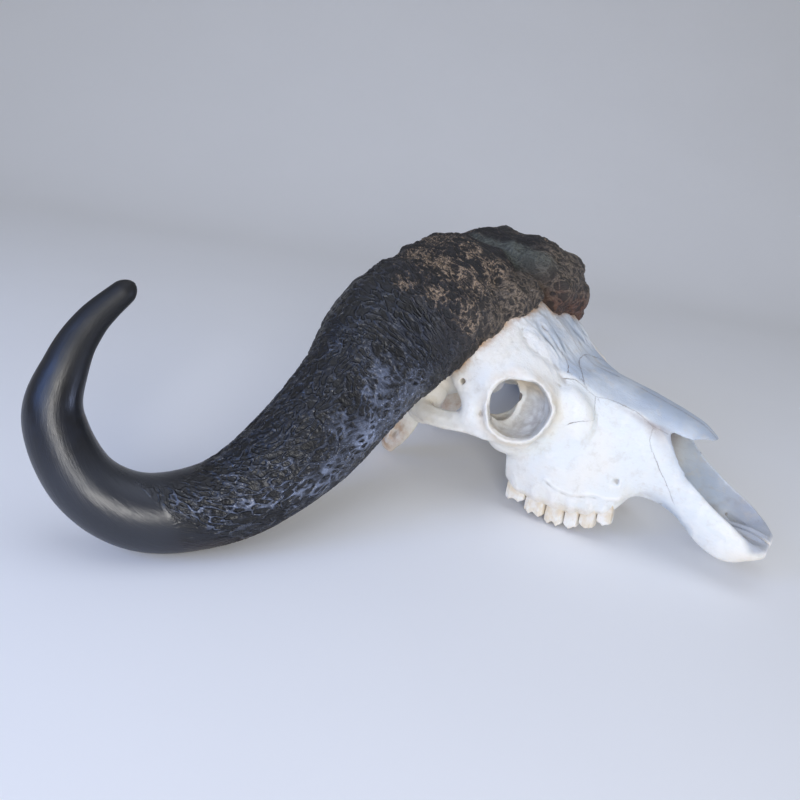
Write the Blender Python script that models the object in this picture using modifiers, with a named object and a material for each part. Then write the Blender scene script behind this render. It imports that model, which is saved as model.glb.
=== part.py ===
# African buffalo skull with both horn sheaths, without the lower jaw.
#
# Everything is shaped in the skull's own frame: x runs to the nose with 0 at its tip, y to the animal's
# left, z up from the chewing plane. The tables are in centimetres. FRAME then scales the meshes to metres
# and tips them so that the skull rests on the low curves of both horns and on the cheek teeth.

import math

import bmesh
import bpy
import numpy as np
from mathutils import Matrix, Vector, noise

CM = 0.01

# Driving dimensions, in centimetres
MIDDLE_OF_LENGTH = -32.05
ORBIT_CENTRE = (-29.4, 11.5, 13.0)
ORBIT_AXIS = (0.33, 0.92, 0.20)
ORBIT_RADIUS = 3.5
ORBIT_RIM = 0.75
HORN_GAP = 0.04
BOSS_CLEFT = 0.3
CLEFT_DIP = 1.5
CLEFT_SPREAD = 3.2
SEAT_OVERLAP = 0.1

# Resting pose
REST_TILT = math.radians(3.69)
REST_DROP = 3.65

# Mesh densities
CLAY_VOXEL = 0.42
CLAY_SMOOTHING = 6
SKULL_TRIANGLES = 3450
HORN_ALONG = 42
HORN_AROUND = 20

# Face and muzzle from nose to cheek. A row is x, then y,z pairs of half a section from the roof's middle,
# over the roof's edge, down the side and the tooth row's outer and inner edge, to the palate's middle.
FACE = (
    (-0.5, (0, 1.7, 1.3, 1.8, 2.3, 1.7, 2.9, 1.4, 2.9, 0.9, 2.3, 0.6, 1.3, 0.5, 0, 0.6)),
    (-2.0, (0, 1.9, 2.2, 2.1, 3.7, 2.3, 4.5, 1.8, 4.5, 0.9, 3.7, 0.3, 2.0, 0.2, 0, 0.4)),
    (-4.5, (0, 2.4, 2.6, 2.9, 4.3, 3.7, 5.1, 2.8, 5.1, 0.8, 4.3, -0.5, 2.3, -0.4, 0, 0.0)),
    (-7.5, (0, 4.2, 3.0, 4.6, 4.1, 5.2, 5.0, 3.9, 4.9, 1.7, 4.0, 0.2, 2.2, 0.3, 0, 0.6)),
    (-11.0, (0, 7.8, 3.0, 8.1, 4.0, 8.4, 4.8, 6.5, 4.7, 4.2, 3.6, 2.7, 1.9, 2.6, 0, 2.9)),
    (-14.0, (0, 12.8, 3.0, 12.8, 4.1, 12.2, 5.0, 9.2, 4.9, 5.8, 3.7, 3.8, 2.0, 3.5, 0, 3.8)),
    (-16.2, (0, 14.7, 2.4, 14.6, 4.4, 13.2, 5.5, 9.8, 5.5, 5.8, 4.6, 3.7, 2.6, 3.4, 0, 4.0)),
    (-18.0, (0, 15.2, 2.6, 15.0, 4.7, 13.6, 6.0, 10.0, 6.5, 5.2, 6.1, 1.7, 4.6, 1.6, 0, 4.0)),
    (-22.0, (0, 16.3, 3.2, 16.0, 5.5, 14.4, 7.2, 10.4, 8.0, 4.6, 7.1, 0.4, 4.9, 0.4, 0, 3.8)),
    (-26.0, (0, 18.0, 4.4, 17.6, 6.8, 15.8, 8.4, 11.4, 8.7, 5.2, 7.7, 0.6, 5.3, 0.6, 0, 3.8)),
    (-29.6, (0, 20.8, 5.0, 19.8, 7.0, 15.6, 7.6, 11.0, 8.3, 6.2, 7.7, 1.3, 5.6, 1.3, 0, 4.4)),
    (-31.6, (0, 20.0, 4.0, 17.5, 5.4, 13.0, 6.4, 9.6, 7.6, 6.6, 7.2, 2.6, 5.6, 2.5, 0, 5.2)),
)

# Forehead and braincase from the nose root to the nape: roof, side, temple and base of half a section.
CRANIUM = (
    (-26.4, (0, 18.0, 4.2, 17.7, 7.2, 16.4, 7.2, 15.4, 4.4, 14.6, 0, 14.6)),
    (-28.6, (0, 20.3, 5.4, 19.8, 9.6, 17.6, 9.4, 15.9, 5.4, 14.4, 0, 14.4)),
    (-31.2, (0, 22.5, 6.2, 21.9, 10.8, 18.6, 10.6, 16.2, 5.8, 14.4, 0, 14.2)),
    (-34.0, (0, 24.2, 7.4, 23.0, 12.0, 18.6, 11.4, 15.8, 6.0, 14.3, 0, 13.8)),
    (-37.0, (0, 24.8, 8.6, 23.6, 12.8, 18.4, 10.6, 14.6, 6.4, 13.0, 0, 12.4)),
    (-40.0, (0, 25.0, 9.4, 23.6, 12.8, 18.0, 9.4, 12.6, 6.6, 11.0, 0, 11.2)),
    (-43.5, (0, 25.0, 9.2, 23.4, 11.8, 17.4, 10.0, 11.4, 6.4, 9.4, 0, 9.5)),
    (-47.0, (0, 24.2, 8.4, 22.4, 10.6, 16.8, 9.8, 11.6, 6.0, 8.9, 0, 9.0)),
    (-49.6, (0, 21.4, 6.2, 20.0, 8.6, 15.6, 8.0, 11.4, 4.6, 9.2, 0, 9.0)),
    (-50.8, (0, 18.6, 4.0, 17.6, 5.6, 15.0, 5.2, 12.0, 3.0, 10.2, 0, 10.0)),
)

# Roof of the nose, both nasal bones with their free tips: top, edge and underside of half a section.
NASALS = (
    (-24.5, (0, 17.3, 2.0, 17.1, 3.2, 15.6, 1.6, 15.0, 0, 15.0)),
    (-21.0, (0, 16.5, 2.4, 16.1, 3.7, 14.7, 2.0, 14.4, 0, 14.6)),
    (-17.0, (0, 15.5, 2.4, 15.1, 3.7, 13.7, 2.1, 13.8, 0, 14.2)),
    (-13.6, (0, 14.5, 2.3, 14.1, 3.5, 12.5, 2.1, 12.9, 0, 13.4)),
    (-11.2, (0, 13.7, 2.0, 13.3, 3.1, 12.0, 1.8, 12.4, 0, 12.9)),
    (-10.2, (0, 13.2, 1.6, 12.9, 2.4, 12.1, 1.5, 12.1, 0, 12.5)),
    (-9.2, (0, 12.5, 1.2, 12.3, 1.6, 11.8, 1.1, 11.6, 0, 11.9)),
    (-7.9, (0, 11.3, 0.8, 11.2, 1.1, 10.9, 0.8, 10.6, 0, 10.8)),
)

# Nose passage, open over the muzzle and at the throat: its roof, wall and floor of half a section.
PASSAGE = (
    (1.5, (0, 12.0, 3.6, 12.0, 4.1, 6.0, 4.1, 3.2, 2.0, 2.0, 0, 2.0)),
    (-2.5, (0, 12.0, 3.6, 12.0, 4.1, 6.0, 4.0, 3.0, 2.2, 2.0, 0, 2.0)),
    (-5.5, (0, 12.0, 3.6, 12.0, 4.2, 7.0, 4.2, 3.4, 2.6, 1.5, 0, 1.6)),
    (-8.5, (0, 12.0, 3.3, 12.0, 4.2, 8.0, 4.1, 4.0, 2.6, 1.9, 0, 2.0)),
    (-11.5, (0, 12.1, 3.1, 11.9, 4.2, 8.6, 4.0, 6.0, 2.6, 4.0, 0, 3.9)),
    (-14.5, (0, 12.8, 2.8, 12.2, 4.2, 9.0, 4.0, 6.4, 2.6, 4.8, 0, 4.7)),
    (-20.0, (0, 14.2, 3.0, 13.4, 4.8, 10.0, 4.6, 7.0, 2.8, 5.0, 0, 4.9)),
    (-26.0, (0, 13.8, 2.8, 13.0, 4.0, 10.0, 3.8, 7.4, 2.4, 5.2, 0, 5.0)),
    (-30.0, (0, 10.4, 1.6, 10.2, 2.4, 8.8, 2.4, 7.4, 1.8, 5.8, 0, 5.6)),
    (-34.0, (0, 9.6, 1.4, 9.4, 2.2, 8.4, 2.2, 7.4, 1.8, 5.6, 0, 5.0)),
)

# Round or oval lumps of bone: centre, then radii along x, y and z. Each is made on both sides.
LUMPS = (
    ((-31.8, 7.7, 8.6), (2.4, 2.0, 3.5)),
    ((-30.6, 6.4, 15.2), (2.6, 1.2, 2.4)),
    ((-44.6, 9.4, 11.4), (2.8, 2.8, 2.6)),
    ((-42.4, 9.8, 11.6), (2.6, 2.2, 2.5)),
    ((-43.0, 9.4, 9.0), (2.6, 1.6, 2.4)),
    ((-50.6, 2.9, 10.4), (1.8, 1.8, 2.4)),
    ((-44.2, 4.6, 9.6), (1.9, 1.2, 1.4)),
    ((-25.4, 7.9, 12.0), (2.6, 1.6, 3.2)),
)

# Bars and ridges of bone on both sides. Each point is x, y, z, half height and half thickness.
CHEEK_ARCH = (
    (-27.5, 10.4, 8.6, 1.1, 0.9),
    (-31.0, 12.0, 9.2, 1.3, 0.8),
    (-34.5, 12.7, 9.9, 1.45, 0.7),
    (-38.0, 12.7, 9.5, 1.35, 0.75),
    (-41.2, 12.0, 9.4, 1.5, 0.9),
    (-44.0, 10.0, 9.8, 1.7, 1.4),
)
REAR_OF_ORBIT = (
    (-35.6, 11.6, 17.2, 1.3, 1.0),
    (-34.8, 12.6, 14.6, 1.0, 0.75),
    (-34.6, 12.9, 12.4, 0.95, 0.7),
    (-34.9, 12.9, 10.0, 1.2, 0.7),
)
JUGULAR_PROCESS = (
    (-45.8, 8.8, 11.0, 2.0, 1.4),
    (-46.2, 8.2, 8.0, 1.9, 1.3),
    (-47.4, 7.5, 5.0, 1.6, 1.1),
    (-48.8, 6.9, 2.2, 1.1, 0.8),
    (-49.8, 6.5, 0.2, 0.6, 0.5),
)
RIGHT_PROCESS_WIDER = 1.35
THROAT_PLATE = (
    (-31.4, 3.6, 13.0, 1.4, 0.5),
    (-31.2, 3.2, 8.6, 1.5, 0.45),
    (-30.8, 3.0, 4.6, 1.6, 0.45),
)
FACIAL_CREST = (
    (-28.0, 8.9, 6.6, 0.9, 0.5),
    (-24.6, 8.2, 4.2, 0.6, 0.5),
    (-21.0, 7.5, 3.7, 0.6, 0.5),
    (-18.4, 6.6, 4.1, 0.5, 0.4),
)
BARS = (CHEEK_ARCH, REAR_OF_ORBIT, THROAT_PLATE, FACIAL_CREST)

SKULL_BASE = (
    (-51.0, 0.0, 10.2, 1.0, 2.0),
    (-46.0, 0.0, 10.2, 1.2, 2.4),
    (-41.0, 0.0, 11.6, 1.3, 2.4),
    (-36.5, 0.0, 14.0, 1.2, 2.2),
)

# Holes: centre, radii, and the pitch and turn of the long axis in degrees. Made on both sides.
HOLES = (
    ((-18.0, 6.2, 5.6), (1.6, 0.5, 0.55), 0, -14),
    ((-5.2, 3.2, 1.0), (2.0, 0.42, 2.2), 0, -22),
)
MIDDLE_HOLES = (
    ((-50.0, 0.0, 13.0), (3.6, 1.9, 1.6), -12, 0),
    ((-46.0, 0.0, 15.0), (4.6, 4.0, 2.8), 0, 0),
    ((-1.2, 0.15, 1.2), (2.6, 0.28, 2.4), 0, 0),
)

# Horn sheath: centre line x, y, z, half width, half thickness, front edge's droop in degrees, squareness.
HORN = (
    (-41.4, 0.0, 23.8, 8.7, 5.3, 12, 3.0),
    (-41.5, 6.0, 23.6, 8.7, 5.7, 20, 2.5),
    (-42.5, 12.1, 22.0, 8.0, 5.0, 32, 2.2),
    (-44.2, 18.2, 18.6, 7.6, 5.4, 46, 2.2),
    (-44.5, 24.3, 13.8, 6.3, 4.9, 50, 2.1),
    (-45.4, 31.2, 9.0, 5.6, 4.9, 45, 2.0),
    (-48.1, 38.7, 4.7, 4.6, 4.3, 30, 2.0),
    (-52.5, 45.6, 3.75, 4.1, 3.95, 0, 2.0),
    (-56.6, 49.8, 6.85, 3.4, 3.3, 0, 2.0),
    (-59.8, 50.9, 12.95, 2.9, 2.8, 0, 2.0),
    (-59.8, 49.3, 18.2, 2.1, 2.05, 0, 2.0),
    (-58.9, 47.2, 22.1, 1.6, 1.55, 0, 2.0),
    (-57.0, 44.0, 25.7, 1.1, 1.1, 0, 2.0),
)
# The left boss reaches further over the forehead: its own first rows.
LEFT_BOSS = (
    (-40.0, 0.0, 25.5, 9.9, 5.4, 0, 2.4),
    (-39.9, 6.0, 25.2, 10.3, 5.7, 6, 2.2),
    (-41.8, 12.1, 22.4, 8.8, 5.3, 30, 2.2),
)
LUMP_SIZE = 3.4
LUMP_HEIGHT = 1.5
LUMPY_ROWS = 4.0

# Cheek teeth from front to back: name number, middle x, middle y, chewing face z, length, width, lobes.
TEETH = (
    (1, -18.4, 5.45, -0.4, 1.75, 1.5, 1),
    (2, -20.3, 5.85, -1.3, 1.85, 1.8, 1),
    (3, -22.15, 6.15, -1.85, 1.65, 2.0, 1),
    (4, -24.25, 6.4, -1.95, 2.3, 2.1, 2),
    (5, -26.85, 6.55, -1.5, 2.6, 2.2, 2),
    (6, -29.6, 6.55, -0.5, 2.6, 2.1, 2),
)
TOOTH_ROOT = 2.3
TOOTH_AROUND = 12

# Finishes: colour, roughness
BONE = ((0.82, 0.81, 0.77), 0.55)
HORN_BLACK = ((0.028, 0.026, 0.027), 0.42)
ENAMEL = ((0.78, 0.70, 0.58), 0.35)

FRAME = (
    Matrix.Translation((-MIDDLE_OF_LENGTH * CM, 0.0, REST_DROP * CM))
    @ Matrix.Rotation(-REST_TILT, 4, "Y")
    @ Matrix.Scale(CM, 4)
)


def clear_scene():
    for obj in list(bpy.data.objects):
        bpy.data.objects.remove(obj, do_unlink=True)


def new_collection(name):
    collection = bpy.data.collections.new(name)
    bpy.context.scene.collection.children.link(collection)
    return collection


def new_material(name, finish):
    colour, roughness = finish
    material = bpy.data.materials.new(name)
    material.use_nodes = True
    shader = material.node_tree.nodes["Principled BSDF"]
    shader.inputs["Base Color"].default_value = (*colour, 1.0)
    shader.inputs["Roughness"].default_value = roughness
    shader.inputs["Metallic"].default_value = 0.0
    return material


def new_object(name, bm, collection):
    mesh = bpy.data.meshes.new(name)
    bm.to_mesh(mesh)
    bm.free()
    obj = bpy.data.objects.new(name, mesh)
    collection.objects.link(obj)
    return obj


def new_cutter(name, bm, collection):
    obj = new_object(name, bm, collection)
    obj.hide_render = True
    obj.display_type = "WIRE"
    return obj


def bake(obj):
    """Replace the mesh by what the modifiers make of it."""
    graph = bpy.context.evaluated_depsgraph_get()
    mesh = bpy.data.meshes.new_from_object(obj.evaluated_get(graph))
    obj.modifiers.clear()
    obj.data = mesh


def between(rows, where):
    """Smooth values between the rows of a table, at row numbers that need not be whole."""
    rows = np.asarray(rows, float)
    rows = np.vstack([2 * rows[0] - rows[1], rows, 2 * rows[-1] - rows[-2]])
    first = np.clip(np.floor(where).astype(int), 0, len(rows) - 4)
    s = (where - first)[:, None]
    a, b, c, d = rows[first], rows[first + 1], rows[first + 2], rows[first + 3]
    return 0.5 * (2 * b + (c - a) * s + (2 * a - 5 * b + 4 * c - d) * s**2 + (3 * b - a - 3 * c + d) * s**3)


def wrap(bm, rings):
    """Close a skin over rings that have the same number of points, and cap both ends."""
    rings = [[bm.verts.new(point) for point in ring] for ring in rings]
    count = len(rings[0])
    faces = [bm.faces.new(rings[0]), bm.faces.new(rings[-1])]
    for near, far in zip(rings, rings[1:]):
        for i in range(count):
            j = (i + 1) % count
            faces.append(bm.faces.new((near[i], near[j], far[j], far[i])))
    bmesh.ops.recalc_face_normals(bm, faces=faces)
    bmesh.ops.triangulate(bm, faces=faces, quad_method="FIXED")


def both_halves(points):
    """Ring of y,z pairs from half a section that starts and ends in the middle plane."""
    half = np.reshape(points, (-1, 2))
    mirrored = half[-2:0:-1] * (-1, 1)
    return np.vstack([half, mirrored])


def add_loft(bm, sections, along=4, around=3):
    """Smooth body through the sections of a table."""
    stations = np.array([x for x, _ in sections])
    rings = np.array([both_halves(points).ravel() for _, points in sections])
    where = np.linspace(0, len(sections) - 1, (len(sections) - 1) * along + 1)
    xs = between(stations[:, None], where)[:, 0]
    skin = []
    for x, flat in zip(xs, between(rings, where)):
        ring = flat.reshape(-1, 2)
        closed = np.vstack([ring[-1], ring, ring[0], ring[1]])
        steps = np.arange(0, len(ring), 1.0 / around) + 1
        ring = between(closed, steps)
        skin.append([(x, y, z) for y, z in ring])
    wrap(bm, skin)


def add_bar(bm, points, side, along=4, around=14, wider=1.0):
    """Oval bar along a smooth path, for the cheek arch and the like."""
    where = np.linspace(0, len(points) - 1, (len(points) - 1) * along + 1)
    rows = between(points, where) * (1, 1, 1, wider, 1)
    path = rows[:, :3] * (1, side, 1)
    heading = np.gradient(path, axis=0)
    heading /= np.linalg.norm(heading, axis=1)[:, None]
    skin = []
    for centre, way, (tall, thick) in zip(path, heading, rows[:, 3:]):
        out = Vector((0, 1, 0)) - Vector(way) * way[1]
        out.normalize()
        up = Vector(way).cross(out)
        turns = (math.tau * k / around for k in range(around))
        skin.append([Vector(centre) + out * thick * math.cos(t) + up * tall * math.sin(t) for t in turns])
    wrap(bm, skin)


def add_lump(bm, centre, radii, side=1, pitch=0.0, turn=0.0, segments=20):
    x, y, z = centre
    place = (
        Matrix.Translation((x, y * side, z))
        @ Matrix.Rotation(math.radians(turn * side), 4, "Z")
        @ Matrix.Rotation(math.radians(pitch), 4, "Y")
        @ Matrix.Diagonal((*radii, 1))
    )
    bmesh.ops.create_uvsphere(bm, u_segments=segments, v_segments=segments // 2, radius=1, matrix=place)


def orbit_matrix(side):
    """Frame with z along the orbit's axis, pointing out of the skull."""
    x, y, z = ORBIT_CENTRE
    ax, ay, az = ORBIT_AXIS
    outward = Vector((ax, ay * side, az))
    return Matrix.Translation((x, y * side, z)) @ outward.to_track_quat("Z", "Y").to_matrix().to_4x4()


def add_orbit_rim(bm, side, around=40, section=12):
    """Raised ring of bone round the eye socket, flared inwards."""
    place = orbit_matrix(side)
    rings = []
    for i in range(around):
        turn = math.tau * i / around
        ring = []
        for k in range(section):
            t = math.tau * k / section
            radius = ORBIT_RADIUS + ORBIT_RIM * (1 + math.cos(t))
            depth = 1.6 * math.sin(t) - 0.9
            ring.append(place @ Vector((radius * math.cos(turn), radius * math.sin(turn), depth)))
        rings.append([bm.verts.new(point) for point in ring])
    faces = []
    for near, far in zip(rings, rings[1:] + rings[:1]):
        for k in range(section):
            j = (k + 1) % section
            faces.append(bm.faces.new((near[k], near[j], far[j], far[k])))
    bmesh.ops.recalc_face_normals(bm, faces=faces)


def add_orbit_hollow(bm, side):
    """Bowl of the eye socket."""
    place = orbit_matrix(side) @ Matrix.Translation((0, 0, -1.0)) @ Matrix.Diagonal((ORBIT_RADIUS, ORBIT_RADIUS, 5.0, 1))
    bmesh.ops.create_uvsphere(bm, u_segments=28, v_segments=16, radius=1, matrix=place)


def bone_clay(collection):
    """All bones laid over each other, melted into one skin and smoothed."""
    bm = bmesh.new()
    add_loft(bm, FACE)
    add_loft(bm, CRANIUM)
    add_loft(bm, NASALS)
    add_bar(bm, SKULL_BASE, 1)
    for side in (-1, 1):
        add_orbit_rim(bm, side)
        for bar in BARS:
            add_bar(bm, bar, side)
        add_bar(bm, JUGULAR_PROCESS, side, wider=RIGHT_PROCESS_WIDER if side < 0 else 1.0)
        for centre, radii in LUMPS:
            add_lump(bm, centre, radii, side)
    obj = new_object("skull", bm, collection)
    melt = obj.modifiers.new("Melt", "REMESH")
    melt.mode = "VOXEL"
    melt.voxel_size = CLAY_VOXEL
    smooth = obj.modifiers.new("Smooth", "SMOOTH")
    smooth.iterations = CLAY_SMOOTHING
    bake(obj)
    return obj


def cutters_of_skull(collection):
    """Nose passage, eye sockets, braincase, nape opening and the slits of the muzzle."""
    bm = bmesh.new()
    add_loft(bm, PASSAGE)
    cutters = [new_cutter("nose_passage_cutter", bm, collection)]
    for side, word in ((-1, "right"), (1, "left")):
        bm = bmesh.new()
        add_orbit_hollow(bm, side)
        cutters.append(new_cutter(f"orbit_{word}_cutter", bm, collection))
        for number, (centre, radii, pitch, turn) in enumerate(HOLES, 1):
            bm = bmesh.new()
            add_lump(bm, centre, radii, side, pitch, turn)
            cutters.append(new_cutter(f"hole_{word}_{number}_cutter", bm, collection))
    for number, (centre, radii, pitch, turn) in enumerate(MIDDLE_HOLES, 1):
        bm = bmesh.new()
        add_lump(bm, centre, radii, 1, pitch, turn)
        cutters.append(new_cutter(f"hole_middle_{number}_cutter", bm, collection))
    return cutters


def cut(obj, cutters):
    for cutter in cutters:
        modifier = obj.modifiers.new(cutter.name, "BOOLEAN")
        modifier.operation = "DIFFERENCE"
        modifier.object = cutter


def thin_out(obj, triangles):
    """Fewer triangles, most of them kept where the surface bends."""
    obj.data.calc_loop_triangles()
    modifier = obj.modifiers.new("Thin", "DECIMATE")
    modifier.ratio = triangles / len(obj.data.loop_triangles)
    bake(obj)


def keep_largest_island(obj):
    bm = bmesh.new()
    bm.from_mesh(obj.data)
    left = set(bm.verts)
    islands = []
    while left:
        start = left.pop()
        island, queue = {start}, [start]
        while queue:
            for edge in queue.pop().link_edges:
                for vert in edge.verts:
                    if vert in left:
                        left.remove(vert)
                        island.add(vert)
                        queue.append(vert)
        islands.append(island)
    islands.sort(key=len)
    for island in islands[:-1]:
        bmesh.ops.delete(bm, geom=list(island), context="VERTS")
    bm.to_mesh(obj.data)
    bm.free()


def horn_rows(side):
    """The horn's table at every ring."""
    table = LEFT_BOSS + HORN[len(LEFT_BOSS):] if side > 0 else HORN
    where = np.linspace(0, len(table) - 1, HORN_ALONG + 1)
    return where, between(table, where)


def boss_lump(point, weight, upper):
    """Height of the lumps on the boss, fading out along the horn; the upper side sinks towards the cleft."""
    dip = CLEFT_DIP * upper * max(0.0, 1 - abs(point.y) / CLEFT_SPREAD) ** 2
    return LUMP_HEIGHT * weight * noise.fractal(Vector(point) / LUMP_SIZE, 0.9, 2.1, 3) - dip


def horn_mesh(side, grow=0.0):
    """Sheath from the cleft between the bosses to the blunt tip."""
    where, rows = horn_rows(side)
    centres = rows[:, :3] * (1, side, 1)
    centres[0, 1] = side * BOSS_CLEFT / 2
    heading = np.gradient(centres, axis=0)
    heading[0] = (0, side, 0)
    heading /= np.linalg.norm(heading, axis=1)[:, None]
    skin = []
    for k, (row, centre, way) in enumerate(zip(where, centres, heading)):
        wide, thick, droop, square = rows[k, 3:]
        front = Vector((1, 0, 0)) - Vector(way) * way[0]
        front.normalize()
        up = Vector((0, 0, 1)) if k == 0 else Vector(way).cross(front) * -side
        tilt = math.radians(droop)
        across = front * math.cos(tilt) - up * math.sin(tilt)
        over = front * math.sin(tilt) + up * math.cos(tilt)
        weight = max(0.0, 1 - row / LUMPY_ROWS)
        ring = []
        for i in range(HORN_AROUND):
            t = math.tau * i / HORN_AROUND
            c, s = math.cos(t), math.sin(t)
            c = math.copysign(abs(c) ** (2 / square), c)
            s = math.copysign(abs(s) ** (2 / square), s)
            out = across * c + over * s
            point = Vector(centre) + across * wide * c + over * thick * s
            lump = boss_lump(point, weight, max(0.0, s)) + grow
            point += out.normalized() * lump
            point.y = side * max(side * point.y, BOSS_CLEFT / 2)
            ring.append(point)
        skin.append(ring)
    tip = Vector(heading[-1]) * (rows[-1, 4] * 0.6 + grow)
    middle = sum(skin[-1], Vector()) / HORN_AROUND
    skin.append([point.lerp(middle, 0.45) + tip for point in skin[-1]])
    if grow:
        past_middle = Vector((0, -side * (BOSS_CLEFT / 2 + SEAT_OVERLAP), 0))
        skin.insert(0, [point + past_middle for point in skin[0]])
    bm = bmesh.new()
    wrap(bm, skin)
    return bm


def tooth_mesh(side, tooth, grow=0.0):
    """Worn cheek tooth: upright ribs on its outer side, cusps and a valley on its chewing face."""
    _, x, y, low, length, width, lobes = tooth
    levels = (low + TOOTH_ROOT + 1.7, low + 1.6, low + 0.55, low)
    scales = (0.9, 0.94, 1.0, 0.93)
    skin = []
    for z, scale in zip(levels, scales):
        ring = []
        for i in range(TOOTH_AROUND):
            t = math.tau * i / TOOTH_AROUND
            c, s = math.cos(t), math.sin(t)
            bump = 1 + 0.07 * math.cos(2 * lobes * t + math.pi) * max(0.0, s * 1.2)
            across = math.copysign(abs(c) ** 0.62, c) * length / 2 * scale * bump + grow * c
            out = math.copysign(abs(s) ** 0.62, s) * width / 2 * scale * bump + grow * s
            cusp = 0.28 * math.cos(2 * lobes * t) * max(0.0, s) if z == low else 0.0
            ring.append((x + across, side * (y + out), z - max(cusp, -0.2) * 0.8 - (grow if z == low else 0)))
        skin.append(ring)
    bm = bmesh.new()
    wrap(bm, skin)
    return bm


def flatten_foot(obj):
    """Cut the mesh off at the resting plane, which leaves a small flat facet."""
    bm = bmesh.new()
    bm.from_mesh(obj.data)
    geometry = bm.verts[:] + bm.edges[:] + bm.faces[:]
    result = bmesh.ops.bisect_plane(bm, geom=geometry, plane_co=(0, 0, 0), plane_no=(0, 0, 1), clear_inner=True)
    edges = [item for item in result["geom_cut"] if isinstance(item, bmesh.types.BMEdge)]
    if edges:
        bmesh.ops.edgeloop_fill(bm, edges=edges)
    bm.to_mesh(obj.data)
    bm.free()


def finish(obj, material):
    """Tip into the resting pose, in metres, cut the foot and shade."""
    obj.data.transform(FRAME)
    flatten_foot(obj)
    obj.data.materials.clear()
    obj.data.materials.append(material)
    obj.data.shade_smooth()
    obj.data.set_sharp_from_angle(angle=math.radians(50))


def build():
    clear_scene()
    parts = new_collection("buffalo_skull")
    cutters = new_collection("cutters")
    bone = new_material("bleached_bone", BONE)
    horn = new_material("black_horn", HORN_BLACK)
    enamel = new_material("tooth_enamel", ENAMEL)

    skull = bone_clay(parts)
    cut(skull, cutters_of_skull(cutters))
    bake(skull)
    thin_out(skull, SKULL_TRIANGLES)

    seats = []
    for side, word in ((-1, "right"), (1, "left")):
        sheath = new_object(f"horn_{word}", horn_mesh(side), parts)
        finish(sheath, horn)
        seats.append(new_cutter(f"horn_{word}_seat_cutter", horn_mesh(side, HORN_GAP), cutters))
        for tooth in TEETH:
            name = f"tooth_{word}_{tooth[0]}"
            finish(new_object(name, tooth_mesh(side, tooth), parts), enamel)
            seats.append(new_cutter(f"{name}_socket_cutter", tooth_mesh(side, tooth, HORN_GAP), cutters))
    cut(skull, seats)
    bake(skull)
    keep_largest_island(skull)
    finish(skull, bone)


if __name__ == "__main__":
    build()
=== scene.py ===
import functools
import math

import bmesh
import bpy
import numpy as np
from bpy.props import FloatProperty, FloatVectorProperty, IntProperty, PointerProperty
from bpy.types import Operator, Panel, PropertyGroup
from mathutils import Euler, Matrix, Vector, noise
from mathutils.bvhtree import BVHTree


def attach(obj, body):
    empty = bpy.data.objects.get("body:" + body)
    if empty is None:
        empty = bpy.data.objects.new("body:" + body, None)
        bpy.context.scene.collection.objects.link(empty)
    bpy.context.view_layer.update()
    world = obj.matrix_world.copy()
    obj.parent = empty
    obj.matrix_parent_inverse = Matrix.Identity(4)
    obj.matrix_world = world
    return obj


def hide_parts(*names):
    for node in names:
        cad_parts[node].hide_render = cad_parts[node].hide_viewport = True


bl_info = {
    "name": "Buffalo skull",
    "version": (1, 0, 0),
    "blender": (4, 5, 0),
    "location": "3D View > Sidebar > Buffalo skull",
    "description": "Dresses the packed buffalo skull: weathered bone, ridged horn sheaths and cheek teeth",
    "category": "Object",
}

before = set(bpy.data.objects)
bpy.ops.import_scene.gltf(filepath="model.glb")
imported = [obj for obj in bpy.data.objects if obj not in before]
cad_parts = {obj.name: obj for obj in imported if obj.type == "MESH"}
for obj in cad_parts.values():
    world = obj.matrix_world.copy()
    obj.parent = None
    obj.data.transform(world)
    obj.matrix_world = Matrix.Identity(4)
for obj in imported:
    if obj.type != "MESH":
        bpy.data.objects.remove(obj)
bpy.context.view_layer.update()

CM = 0.01
TAU = math.tau
SIDES = ((-1, "right"), (1, "left"))

# The skull's own frame, as in the solids: x to the nose with 0 at its tip, y to the animal's left, z up from
# the chewing plane, in centimetres. FRAME scales to metres and tips the skull into its resting pose.
MIDDLE_OF_LENGTH = -32.05
REST_TILT = math.radians(3.69)
REST_DROP = 3.65
FRAME = (
    Matrix.Translation((-MIDDLE_OF_LENGTH * CM, 0.0, REST_DROP * CM))
    @ Matrix.Rotation(-REST_TILT, 4, "Y")
    @ Matrix.Scale(CM, 4)
)

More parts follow.
